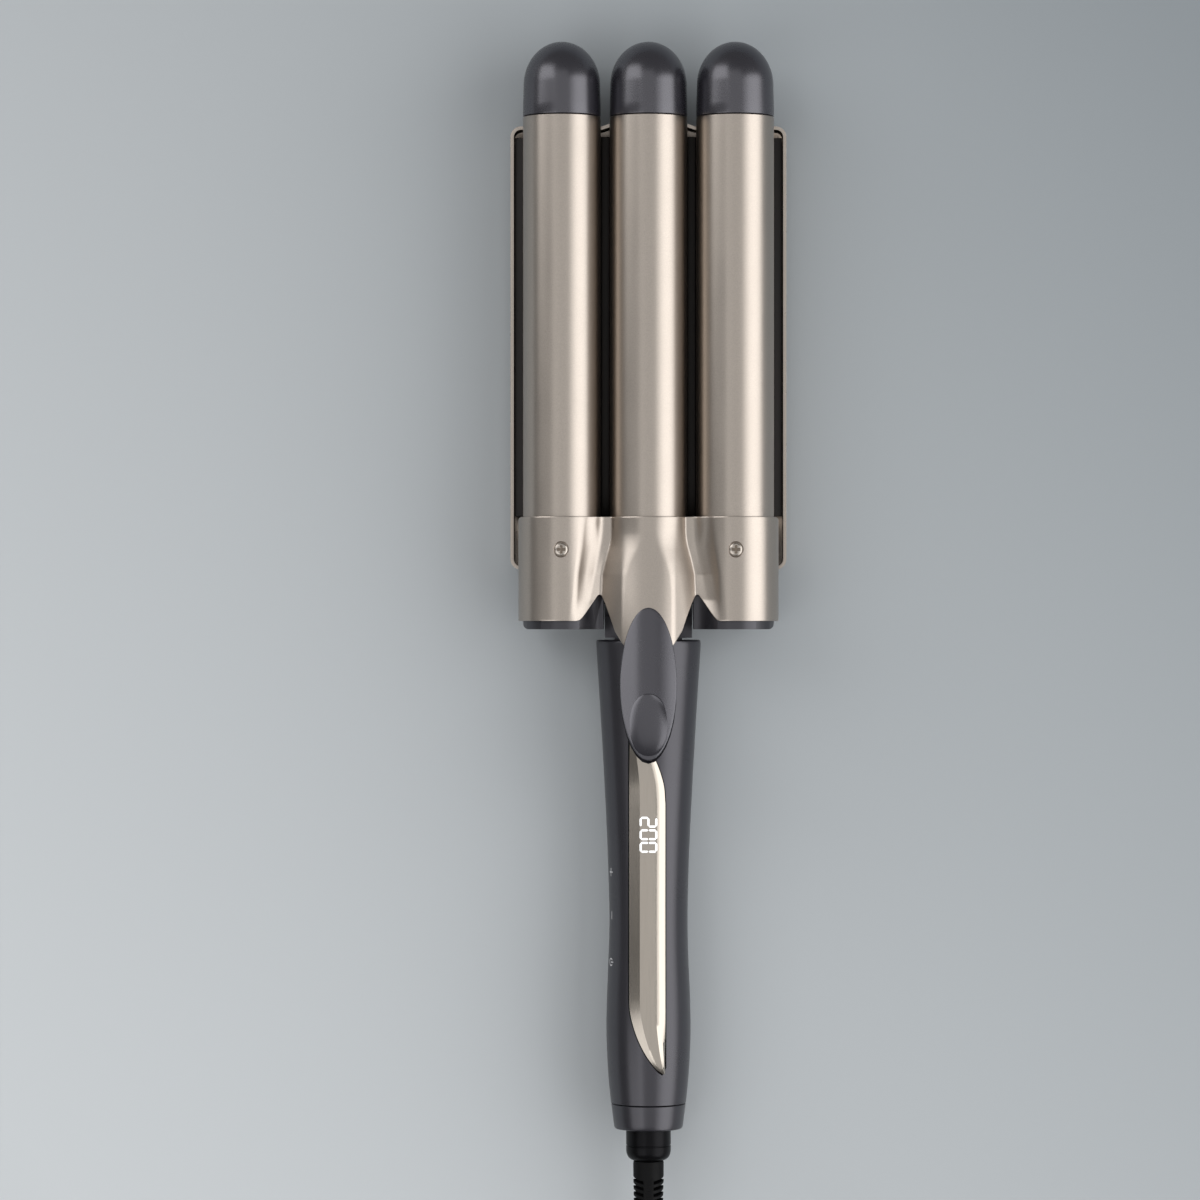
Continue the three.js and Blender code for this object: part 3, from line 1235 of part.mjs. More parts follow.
const coilEnd = coilPoint(COIL_TURNS);
const plugX = coilEnd.x - 9.3;
const plugStart = coilCentre[1] + 48;
const plugZ = PLUG_BODY.depth / 2;
const leadRoute = [
  [0, leadStart, HANDLE_AXIS_HEIGHT],
  [0, leadStart - 9, HANDLE_AXIS_HEIGHT - 0.15],
  [0, leadStart - 18, HANDLE_AXIS_HEIGHT - 1.4],
  [0, leadStart - 27, highLayer + 1.4],
  [0, leadStart - 36, highLayer + 0.15],
  [0, leadEnd, highLayer],
];
const tailStart = coilEnd.y + COIL_STRAIGHT + FIT;
const tailRoute = [
  [coilEnd.x, tailStart, lowLayer],
  [coilEnd.x, tailStart + 8, lowLayer],
  [coilEnd.x - 1.6, tailStart + 18, lowLayer + 0.3],
  [plugX + 1.6, tailStart + 29, plugZ - 1],
  [plugX + 0.1, plugStart - 5.4, plugZ - 0.1],
  [plugX, plugStart - FIT, plugZ],
];
function curveThrough(route) {
  const points = route.map((point) => new THREE.Vector3(...point));
  return new THREE.CatmullRomCurve3(points, false, "centripetal");
}

const leadPath = curveThrough(leadRoute);
const tailPath = curveThrough(tailRoute);
const coilPath = new CoilPath();
coilPath.arcLengthDivisions = 3000;

function plugBody() {
  const { width, length, depth, round, waist, noseDepth } = PLUG_BODY;
  const [low, high] = [plugZ - noseDepth / 2, plugZ + noseDepth / 2];
  const side = outline([
    [-1, 0],
    [waist, 0],
    [waist, low],
    [length + 1, low],
    [length + 1, high],
    [waist, high],
    [waist, depth],
    [-1, depth],
  ]);
  const plan = planBody(roundedBox(-width / 2, width / 2, 0, length, round), -1, depth + 1, 5);
  const grip = plan.intersect(sideBody(side, -width, width));
  return join(grip, barY(cordRadius + PLUG_SLEEVE.wall, -PLUG_SLEEVE.length, PLUG_SLEEVE.bite, 0, plugZ, 16));
}

function plugBlade(x) {
  const { width, thickness, length } = BLADE;
  const start = PLUG_BODY.length + FIT;
  const [half, wide] = [thickness / 2, width / 2];
  return block(x - half, x + half, start, start + length, plugZ - wide, plugZ + wide);
}

function cordTie() {
  const [y0, y1] = [coilCentre[1] - TIE_WIDTH / 2, coilCentre[1] + TIE_WIDTH / 2];
  const x0 = coilCentre[0] + COIL_INNER_RADIUS - cordRadius - TIE_ROOM;
  const x1 = coilPoint(0.5).x + cordRadius + TIE_ROOM;
  const top = highLayer + cordRadius + TIE_ROOM;
  const wall = TIE_THICKNESS;
  return cut(
    block(x0 - wall, x1 + wall, y0, y1, 0, top + wall),
    block(x0, x1, y0 - 1, y1 + 1, wall, top),
  );
}

const plugPlace = [plugX, plugStart + PLUG_SLEEVE.length, 0];
place(cordSet, "cord_lead", tubeAlong(leadPath, cordRadius, 14, 8), rubber);
place(cordSet, "cord_coil", tubeAlong(coilPath, cordRadius, Math.round(COIL_TURNS * 24) + 4, 6), rubber);
place(cordSet, "cord_tail", tubeAlong(tailPath, cordRadius, 16, 8), rubber);
place(cordSet, "cord_tie", cordTie(), blackPlastic);
place(cordSet, "plug_body", plugBody(), rubber, plugPlace);
place(cordSet, "plug_blade_left", plugBlade(-BLADE.pitch / 2), brass, plugPlace);
place(cordSet, "plug_blade_right", plugBlade(BLADE.pitch / 2), brass, plugPlace);

const cordLength = leadPath.getLength() + coilPath.getLength() + tailPath.getLength();
console.log("cord " + cordLength.toFixed(0) + " mm, least gap in the coil " + coilGap().toFixed(2) + " mm");

// The origin is midway along the part itself, without its cord.
whole.position.y = -(tipTop + collarEnd) / 2;
console.log("hinge axis at y " + whole.position.y.toFixed(3) + ", z " + hingeZ.toFixed(3));

export default whole;
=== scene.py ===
"""Models and finishes a hair waver with three barrels, and lights it on a pale floor."""

import json
import math

import bpy
from mathutils import Matrix, Vector


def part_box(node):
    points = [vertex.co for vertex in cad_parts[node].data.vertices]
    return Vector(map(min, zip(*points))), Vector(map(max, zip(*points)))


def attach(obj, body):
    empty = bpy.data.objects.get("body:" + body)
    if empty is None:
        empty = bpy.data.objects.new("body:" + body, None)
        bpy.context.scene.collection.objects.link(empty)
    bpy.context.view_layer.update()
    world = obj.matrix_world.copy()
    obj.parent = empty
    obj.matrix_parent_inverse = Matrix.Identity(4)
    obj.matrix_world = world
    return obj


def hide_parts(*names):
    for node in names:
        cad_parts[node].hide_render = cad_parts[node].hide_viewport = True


bl_info = {
    "name": "Hair Waver",
    "version": (1, 0, 0),
    "blender": (4, 5, 0),
    "location": "3D View > Sidebar > Waver",
    "description": "Models a hair waver with three barrels piece by piece",
    "category": "Object",
}

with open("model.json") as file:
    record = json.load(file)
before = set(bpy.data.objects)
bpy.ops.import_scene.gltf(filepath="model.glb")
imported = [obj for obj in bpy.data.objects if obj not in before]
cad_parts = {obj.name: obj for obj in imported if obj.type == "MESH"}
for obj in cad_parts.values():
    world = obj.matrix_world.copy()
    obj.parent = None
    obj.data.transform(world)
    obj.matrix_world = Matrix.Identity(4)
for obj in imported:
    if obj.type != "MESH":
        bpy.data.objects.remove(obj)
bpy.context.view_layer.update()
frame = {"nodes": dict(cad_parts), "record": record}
MM = 0.001


def millimetres(node, corner, axis):
    """One coordinate of a node's box, in millimetres. Corner 0 is the lowest and 1 the highest."""
    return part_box(node)[corner][axis] / MM


def node_box(node):
    """The lowest and the highest corner of a node's box, in millimetres."""
    return [Vector(corner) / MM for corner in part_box(node)]


LANES = [("left", -1), ("centre", 0), ("right", 1)]
LANE_PITCH = 28.3
HANDLE_TOP = -12.4
HANDLE_LENGTH = 160.2
HANDLE_END = HANDLE_TOP - HANDLE_LENGTH
CAP_SEAM = HANDLE_END + 8.3
HANDLE_Z = 16.5


# What a user would change


def length(name, description, default):
    """A size in metres that shows in the panel."""
    return bpy.props.FloatProperty(
        name=name, description=description, default=default * MM, min=0, subtype="DISTANCE", unit="LENGTH",
        precision=5,
    )


def colour(name, description, default):
    """A colour that shows in the panel."""
    return bpy.props.FloatVectorProperty(
        name=name, description=description, default=default, size=3, min=0, max=1, subtype="COLOR"
    )


class WaverSizes(bpy.types.PropertyGroup):
    """Sizes of the visible pieces."""

    barrel_diameter: length("Barrel diameter", "Outside diameter of a heated barrel", 25.4)
    barrel_pitch: length("Barrel pitch", "Distance between the axes of two barrels", LANE_PITCH)
    barrel_wall: length("Barrel wall", "Thickness of a barrel's tube", 1.2)
    cover_rise: length("Cover rise", "How much the cover's middle lobe climbs to the lever", 4.2)
    cover_wall: length("Cover wall", "Thickness of the yoke cover", 1.2)
    cover_seam: length("Cover pleats", "How steep the pleats beside each valley are; 1 mm is the plain shape", 1)
    lever_width: length("Lever width", "Width of the thumb lever's pad", 18.3)
    lever_length: length("Lever length", "Length of the thumb lever's pad", 49)
    lever_crown: length("Lever crown", "How much the pad's middle stands above its long edges", 2.2)
    tray_wall: length("Tray wall", "Thickness of the rear tray's walls", 1.1)
    handle_wall: length("Handle wall", "Thickness of the handle's shells", 2)
    inlay_gap: length("Inlay gap", "Groove round the handle's inlay", 0.3)
    digit_height: length("Digit height", "Height of the display's digits", 5.1)


class WaverColours(bpy.types.PropertyGroup):
    """Colours of the finishes."""

    champagne: colour("Champagne", "Coat of the barrels, the cover and the tray", (0.442, 0.393, 0.348))
    inlay: colour("Inlay", "Metallised inlay of the handle", (0.46, 0.415, 0.362))
    plastic: colour("Grey plastic", "Handle, tips and lever", (0.014, 0.0135, 0.017))
    dark: colour("Black plastic", "Lever arm, collar and buttons", (0.004, 0.004, 0.0045))
    rubber: colour("Rubber", "Cord, strain relief and plug", (0.005, 0.005, 0.0055))
    plate: colour("Plate", "Coat of the ribbed rear plate", (0.008, 0.005, 0.004))
    figures: colour("Figures", "Lit digits of the display", (1.0, 1.0, 1.0))
    print: colour("Print", "Marks beside the buttons", (0.62, 0.62, 0.63))


class WaverStage(bpy.types.PropertyGroup):
    """The floor and the studio light."""

    # The floor's two colours: lighter at the lower left and darker at the upper right, a painted fall-off of light.
    floor_painted_light: colour("Floor, light end", "Floor at the lower left", (0.625, 0.655, 0.675))
    floor_painted_shade: colour("Floor, dark end", "Floor at the upper right", (0.258, 0.284, 0.303))
    world_level: bpy.props.FloatProperty(
        name="Surrounding light", description="Level of the plain light all round", default=0.18, min=0, max=1
    )


def sizes():
    return bpy.context.scene.waver_sizes


def colours():
    return bpy.context.scene.waver_colours


def stage_settings():
    return bpy.context.scene.waver_stage


def mm(size):
    """A size of the panel in millimetres."""
    return size / MM


# Modelling by hand


def select_only(*pieces):
    bpy.ops.object.select_all(action="DESELECT")
    for piece in pieces:
        piece.select_set(True)
    bpy.context.view_layer.objects.active = pieces[-1]


def name_piece(name):
    piece = bpy.context.object
    piece.name = piece.data.name = name
    return piece


def settle(piece, scale=(1, 1, 1)):
    """Stretches a primitive along its own axes and leaves its object unturned and unscaled."""
    piece.scale = scale
    select_only(piece)
    bpy.ops.object.transform_apply(location=True, rotation=True, scale=True)


def draw_line(name, points):
    """Pulls one vertex on from point to point, in millimetres, and stays in edit mode."""
    bpy.ops.object.select_all(action="DESELECT")
    bpy.ops.mesh.primitive_plane_add(size=MM)
    piece = name_piece(name)
    bpy.ops.object.mode_set(mode="EDIT")
    bpy.ops.mesh.select_mode(type="VERT")
    bpy.ops.mesh.merge(type="CENTER")
    here = Vector(points[0])
    bpy.ops.transform.translate(value=here * MM)
    for point in points[1:]:
        step = Vector(point) - here
        bpy.ops.mesh.extrude_vertices_move(TRANSFORM_OT_translate={"value": step * MM})
        here = Vector(point)
    bpy.ops.mesh.select_all(action="SELECT")
    return piece


def tidy_mesh():
    """Merges doubles, turns the faces outwards and leaves edit mode."""
    bpy.ops.mesh.select_all(action="SELECT")
    bpy.ops.mesh.remove_doubles(threshold=2e-6)
    bpy.ops.mesh.normals_make_consistent(inside=False)
    bpy.ops.object.mode_set(mode="OBJECT")


def turn(name, profile, centre=(0, 0, 0), axis="Y", steps=96):
    """Spins a profile of (radius, station) round an axis through a point."""
    x, y, z = centre
    if axis == "Y":
        points = [(x + radius, station, z) for radius, station in profile]
    else:
        points = [(x + radius, y, station) for radius, station in profile]
    piece = draw_line(name, points)
    direction = (0, 1, 0) if axis == "Y" else (0, 0, 1)
    bpy.ops.mesh.spin(steps=steps, angle=2 * math.pi, center=Vector(centre) * MM, axis=direction)
    tidy_mesh()
    return piece


def prism(name, outline, travel):
    """Fills an outline of points in space and extrudes it by a vector, in millimetres."""
    piece = draw_line(name, outline)
    bpy.ops.mesh.edge_face_add()
    bpy.ops.mesh.extrude_region_move(TRANSFORM_OT_translate={"value": Vector(travel) * MM})
    tidy_mesh()
    return piece


def box_piece(name, low, high):
    """A plain cutter or blank between two corners, in millimetres."""
    bpy.ops.object.select_all(action="DESELECT")
    middle = [(a + b) / 2 * MM for a, b in zip(low, high)]
    bpy.ops.mesh.primitive_cube_add(size=1, location=middle)
    piece = name_piece(name)
    settle(piece, [(b - a) * MM for a, b in zip(low, high)])
    return piece


def rod(name, radius, low, high, sides=32):
    """A cutter: a plain round bar between two points along one axis, in millimetres."""
    bpy.ops.object.select_all(action="DESELECT")
    low, high = Vector(low), Vector(high)
    turned = Vector((0, 0, 1)).rotation_difference(high - low).to_euler()
    bpy.ops.mesh.primitive_cylinder_add(
        vertices=sides, radius=radius * MM, depth=(high - low).length * MM, location=(low + high) / 2 * MM,
        rotation=turned,
    )
    piece = name_piece(name)
    settle(piece)
    return piece


def modify(piece, kind, **settings):
    """Adds a modifier with its settings and applies it."""
    select_only(piece)
    bpy.ops.object.modifier_add(type=kind)
    modifier = piece.modifiers[-1]
    for key, value in settings.items():
        setattr(modifier, key, value)
    bpy.ops.object.modifier_apply(modifier=modifier.name)


def carve(piece, *cutters):
    """Cuts the cutters out of a piece and removes them."""
    for cutter in cutters:
        modify(piece, "BOOLEAN", operation="DIFFERENCE", solver="EXACT", object=cutter)
        bpy.data.objects.remove(cutter, do_unlink=True)


def round_edges(piece, width, angle=40, segments=2):
    """Bevels the edges sharper than an angle, by a width in millimetres."""
    modify(
        piece, "BEVEL", width=width * MM, segments=segments, limit_method="ANGLE",
        angle_limit=math.radians(angle), use_clamp_overlap=True,
    )


def pick_faces(piece, wanted):
    """Enters edit mode with the faces selected that pass a test on their middle, in millimetres, and normal."""
    select_only(piece)
    bpy.ops.object.mode_set(mode="EDIT")
    bpy.ops.mesh.select_mode(type="FACE")
    bpy.ops.mesh.select_all(action="DESELECT")
    bpy.ops.object.mode_set(mode="OBJECT")
    for face in piece.data.polygons:
        face.select = bool(wanted(face.center / MM, face.normal))
    bpy.ops.object.mode_set(mode="EDIT")


def move_vertices(piece, place):
    """Moves every vertex by a function of its place, in millimetres."""
    for vertex in piece.data.vertices:
        vertex.co = Vector(place(*(vertex.co / MM))) * MM
    piece.data.update()


def copy_piece(piece, name, shift):
    """A copy with its own mesh, moved by a vector in millimetres."""
    select_only(piece)
    bpy.ops.object.duplicate(linked=False)
    twin = name_piece(name)
    bpy.ops.transform.translate(value=Vector(shift) * MM)
    bpy.ops.object.transform_apply(location=True, rotation=True, scale=True)
    return twin


def join_pieces(*pieces):
    """Joins pieces into the last one."""
    select_only(*pieces)
    bpy.ops.object.join()
    return pieces[-1]


def copy_node(node, name):
    """A copy of a CAD node with its triangles merged."""
    source = frame["nodes"][node]
    bpy.ops.object.select_all(action="DESELECT")
    piece = source.copy()
    piece.data = source.data.copy()
    piece.parent = None
    piece.matrix_world = source.matrix_world
    bpy.context.scene.collection.objects.link(piece)
    piece.name = piece.data.name = name
    piece.data.materials.clear()
    select_only(piece)
    bpy.ops.object.transform_apply(location=True, rotation=True, scale=True)
    bpy.ops.object.mode_set(mode="EDIT")
    bpy.ops.mesh.select_all(action="SELECT")
    bpy.ops.mesh.remove_doubles(threshold=2e-6)
    bpy.ops.mesh.dissolve_limited(angle_limit=math.radians(0.5))
    bpy.ops.mesh.normals_make_consistent(inside=False)
    bpy.ops.object.mode_set(mode="OBJECT")
    return piece


def complete(piece, body, slot, nodes=(), angle=30, finish=None):
    """Shades a piece, gives it its slot's finish or another, ties it to its body and hides the CAD nodes it stands
    for.
    """
    select_only(piece)
    bpy.ops.object.shade_smooth_by_angle(angle=math.radians(angle))
    piece.data.materials.clear()
    piece.data.materials.append(finish_of(finish or slot))
    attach(piece, body)
    if nodes:
        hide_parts(*nodes)
    return piece


def smoothstep(value, low, high):
    share = min(max((value - low) / (high - low), 0), 1)
    return share * share * (3 - 2 * share)


def along(points, value):
    """Straight interpolation in a short list of (value, result)."""
    if value <= points[0][0]:
        return points[0][1]
    for (x0, y0), (x1, y1) in zip(points, points[1:]):
        if value <= x1:
            return y0 + (y1 - y0) * (value - x0) / (x1 - x0)
    return points[-1][1]


def curve_through(points, count):
    """Points of a smooth curve through a few given ones."""
    ends = [Vector(points[0]) * 2 - Vector(points[1]), Vector(points[-1]) * 2 - Vector(points[-2])]
    knots = [ends[0]] + [Vector(point) for point in points] + [ends[1]]
    result = []
    for before, here, there, after in zip(knots, knots[1:], knots[2:], knots[3:]):
        for i in range(count):
            t = i / count
            result.append(
                0.5 * (2 * here + (there - before) * t + (2 * before - 5 * here + 4 * there - after) * t**2
                       + (3 * here - before - 3 * there + after) * t**3)
            )
    return result + [Vector(points[-1])]


def corners(x0, x1, y0, y1, radius, steps=6):
    """Points of a rectangle with round corners, anticlockwise."""
    points = []
    for cx, cy, start in ((x1, y1, 0), (x0, y1, 90), (x0, y0, 180), (x1, y0, 270)):
        cx += radius if cx == x0 else -radius
        cy += radius if cy == y0 else -radius
        for i in range(steps + 1):
            angle = math.radians(start + 90 * i / steps)
            points.append((cx + radius * math.cos(angle), cy + radius * math.sin(angle)))
    return points


# Finishes


class Value:
    """A number, colour or vector that runs through a finish's nodes."""

    def __init__(self, finish, socket):
        self.finish = finish
        self.socket = socket

    def maths(self, operation, other):
        return self.finish.node("ShaderNodeMath", {"operation": operation}, {0: self, 1: other})

    def __add__(self, other):
        return self.maths("ADD", other)

    def __mul__(self, other):
        return self.maths("MULTIPLY", other)

    __radd__ = __add__


class Finish:
    """Builds the nodes of one material."""

    def __init__(self, name):
        self.material = bpy.data.materials.new(name)
        self.material.use_nodes = True
        self.tree = self.material.node_tree
        self.shader = self.tree.nodes["Principled BSDF"]

    def node(self, kind, settings=None, inputs=None, output=0):
        made = self.tree.nodes.new(kind)
        for key, value in (settings or {}).items():
            if key == "stops":
                ramp = made.color_ramp
                while len(ramp.elements) < len(value):
                    ramp.elements.new(0.5)
                for element, (place, tone) in zip(ramp.elements, value):
                    element.position = place
                    element.color = (*tone, 1) if isinstance(tone, tuple) else (tone, tone, tone, 1)
            else:
                setattr(made, key, value)
        for key, value in (inputs or {}).items():
            self.put(made.inputs[key], value)
        return Value(self, made.outputs[output])

    def put(self, socket, value):
        if isinstance(value, Value):
            self.tree.links.new(value.socket, socket)
        elif hasattr(socket.default_value, "__len__") and len(socket.default_value) == 4 and len(value) == 3:
            socket.default_value = (*value, 1)
        else:
            socket.default_value = value

    def set(self, **inputs):
        for key, value in inputs.items():
            self.put(self.shader.inputs[key.replace("_", " ")], value)

    def place(self, stretch=(1, 1, 1)):
        """The place on the piece, stretched along its axes."""
        spot = self.node("ShaderNodeTexCoord", output="Object")
        return self.node("ShaderNodeMapping", {"vector_type": "POINT"}, {"Vector": spot, "Scale": stretch})

    def noise(self, size, detail=2.0, stretch=(1, 1, 1), rough=0.5):
        """Noise whose grains are about a size in millimetres."""
        inputs = {"Vector": self.place(stretch), "Scale": 1 / (size * MM), "Detail": detail, "Roughness": rough}
        return self.node("ShaderNodeTexNoise", {"noise_dimensions": "3D"}, inputs)

    def blend(self, share, first, second):
        """A colour between two others."""
        settings = {"data_type": "RGBA", "blend_type": "MIX"}
        return self.node("ShaderNodeMix", settings, {0: share, 6: first, 7: second}, output=2)

    def ramp(self, value, *stops):
        return self.node("ShaderNodeValToRGB", {"stops": stops}, {"Fac": value})

    def bump(self, height, depth, strength=1.0):
        """Relief of a depth in millimetres."""
        made = self.node("ShaderNodeBump", {}, {"Height": height, "Distance": depth * MM, "Strength": strength})
        self.set(Normal=made)


def shade(tone, factor):
    return tuple(min(1, part * factor) for part in tone)


def champagne_coat(name, tone, roughness=0.3, grain=0.055, relief=0.004):
    """A fine metallic coat: tiny flakes in it, with slow changes of gloss."""
    finish = Finish(name)
    flakes = finish.noise(0.35, detail=1.5, rough=0.65)
    clouds = finish.noise(18, detail=2)
    handled = finish.noise(6, detail=3, stretch=(1, 0.35, 1))
    tinted = finish.blend(flakes, shade(tone, 1 - grain * 4), shade(tone, 1 + grain * 4))
    finish.set(
        Base_Color=finish.blend(clouds, tinted, finish.blend(flakes, shade(tone, 0.9), shade(tone, 1.04))),
        Metallic=1.0,
        Roughness=roughness - 0.03 + (clouds * 0.04 + handled * 0.05),
        Specular_IOR_Level=0.5,
    )
    finish.bump(flakes, relief, 0.35)
    return finish.material


def moulded_plastic(name, tone, roughness=0.3, relief=0.008, gloss=0.95, index=1.58):
    """Satin moulded plastic with an etched surface, with slow changes of gloss."""
    finish = Finish(name)
    etched = finish.noise(0.45, detail=3, rough=0.6)
    clouds = finish.noise(14, detail=3)
    speck = finish.noise(0.9, detail=1)
    cloudy = finish.blend(clouds, shade(tone, 0.9), shade(tone, 1.1))
    finish.set(
        Base_Color=finish.blend(speck * 0.5, cloudy, shade(tone, 1.2)),
        Roughness=roughness - 0.04 + (clouds * 0.05 + etched * 0.04),
        IOR=index,
        Specular_IOR_Level=gloss,
        Specular_Tint=(0.94, 0.925, 1.0, 1),
    )
    finish.bump(etched, relief, 0.25)
    return finish.material


def rubber_coat(name, tone, roughness=0.55):
    """Soft matt rubber with a dusty bloom."""
    finish = Finish(name)
    fine = finish.noise(0.3, detail=3, rough=0.6)
    bloom = finish.ramp(finish.noise(9, detail=4), (0.42, 0.0), (0.75, 1.0))
    finish.set(
        Base_Color=finish.blend(bloom * 0.35, tone, shade(tone, 1.7)),
        Roughness=roughness - 0.03 + (fine * 0.08 + bloom * 0.05),
        IOR=1.5,
        Specular_IOR_Level=0.12,
    )
    finish.bump(fine, 0.015, 0.3)
    return finish.material


def bare_metal(name, tone, roughness=0.28, stretch=(1, 1, 1), grain=0.3):
    """Bare metal with drawn or turned marks along it and a few dull spots."""
    finish = Finish(name)
    marks = finish.noise(grain, detail=3, stretch=stretch, rough=0.7)
    dull = finish.ramp(finish.noise(3.5, detail=3), (0.45, 0.0), (0.7, 1.0))
    finish.set(
        Base_Color=finish.blend(marks, shade(tone, 0.86), shade(tone, 1.1)),
        Metallic=1.0,
        Roughness=roughness - 0.04 + (marks * 0.1 + dull * 0.1),
    )
    finish.bump(marks, 0.006, 0.4)
    return finish.material


def inlay_coat(name, tone):
    """Metallised plastic under a clear gloss, with a light orange peel."""
    finish = Finish(name)
    brushed = finish.noise(0.5, detail=3, stretch=(1, 0.04, 1), rough=0.6)
    peel = finish.noise(1.6, detail=1)
    finish.set(
        Base_Color=finish.blend(brushed, shade(tone, 0.93), shade(tone, 1.06)),
        Metallic=1.0,
        Roughness=0.18 + (brushed * 0.03 + peel * 0.02),
        Coat_Weight=0.35,
        Coat_Roughness=0.08,
    )
    finish.bump(peel, 0.003, 0.4)
    return finish.material


def ceramic_body(name, tone):
    """Fired ceramic: pale, matt and slightly mottled."""
    finish = Finish(name)
    mottle = finish.noise(2.2, detail=4)
    pores = finish.noise(0.4, detail=2)
    finish.set(Base_Color=finish.blend(mottle, shade(tone, 0.9), shade(tone, 1.04)), Roughness=0.58 + pores * 0.15)
    finish.bump(pores, 0.02, 0.5)
    return finish.material


def mica_sheet(name, tone):
    """Pressed mica: small glossy scales in a dull binder."""
    finish = Finish(name)
    scales = finish.node(
        "ShaderNodeTexVoronoi", {"feature": "F1"}, {"Vector": finish.place((1, 1, 0.2)), "Scale": 420}, output="Color"
    )
    grey = finish.node("ShaderNodeRGBToBW", {}, {"Color": scales})
    finish.set(Base_Color=finish.blend(grey, shade(tone, 0.82), shade(tone, 1.1)), Roughness=0.35 + (grey * 0.3))
    finish.bump(grey, 0.02, 0.5)
    return finish.material


def laminate(name, tone):
    """A printed board: green mask over a fine glass weave."""
    finish = Finish(name)
    warp, weft = (
        finish.node(
            "ShaderNodeTexWave",
            {"wave_type": "BANDS", "bands_direction": direction},
            {"Vector": finish.place(), "Scale": 600, "Distortion": 0.6, "Detail": 1},
            output="Fac",
        )
        for direction in "YX"
    )
    finish.set(
        Base_Color=finish.blend(warp * weft, shade(tone, 0.8), shade(tone, 1.25)), Roughness=0.3 + (warp * 0.1)
    )
    finish.bump(warp + weft, 0.01, 0.4)
    return finish.material


def plate_coat(name, tone):
    """Dark coat of the hot plate, a little worn in streaks."""
    finish = Finish(name)
    grain = finish.noise(0.4, detail=3)
    worn = finish.ramp(finish.noise(5, detail=4, stretch=(1, 0.25, 1)), (0.5, 0.0), (0.8, 1.0))
    finish.set(
        Base_Color=finish.blend(worn * 0.3, tone, shade(tone, 2.2)),
        Metallic=0.35,
        Roughness=0.42 + (grain * 0.12),
    )
    finish.bump(grain, 0.01, 0.4)
    return finish.material


def smoked_window(name):
    """The display module: smoked, glossy and slightly dusty."""
    finish = Finish(name)
    dust = finish.ramp(finish.noise(1.2, detail=4), (0.55, 0.0), (0.9, 1.0))
    smoke = finish.blend(dust * 0.2, (0.006, 0.006, 0.007), (0.05, 0.05, 0.055))
    finish.set(Base_Color=smoke, Roughness=0.1 + dust * 0.2)
    return finish.material


def lit_figures(name, tone):
    """Lit digits with an even glow that falls off a little at places."""
    finish = Finish(name)
    uneven = finish.noise(1.4, detail=1)
    glow = finish.blend(uneven, shade(tone, 0.92), tone)
    finish.set(Base_Color=shade(tone, 0.6), Emission_Color=glow, Emission_Strength=0.85, Roughness=0.4)
    return finish.material


def printed_mark(name, tone):
    """Pad print, thin at places."""
    finish = Finish(name)
    thin = finish.noise(0.25, detail=3)
    finish.set(Base_Color=finish.blend(thin * 0.5, tone, shade(tone, 0.7)), Roughness=0.5 + thin * 0.1)
    return finish.material


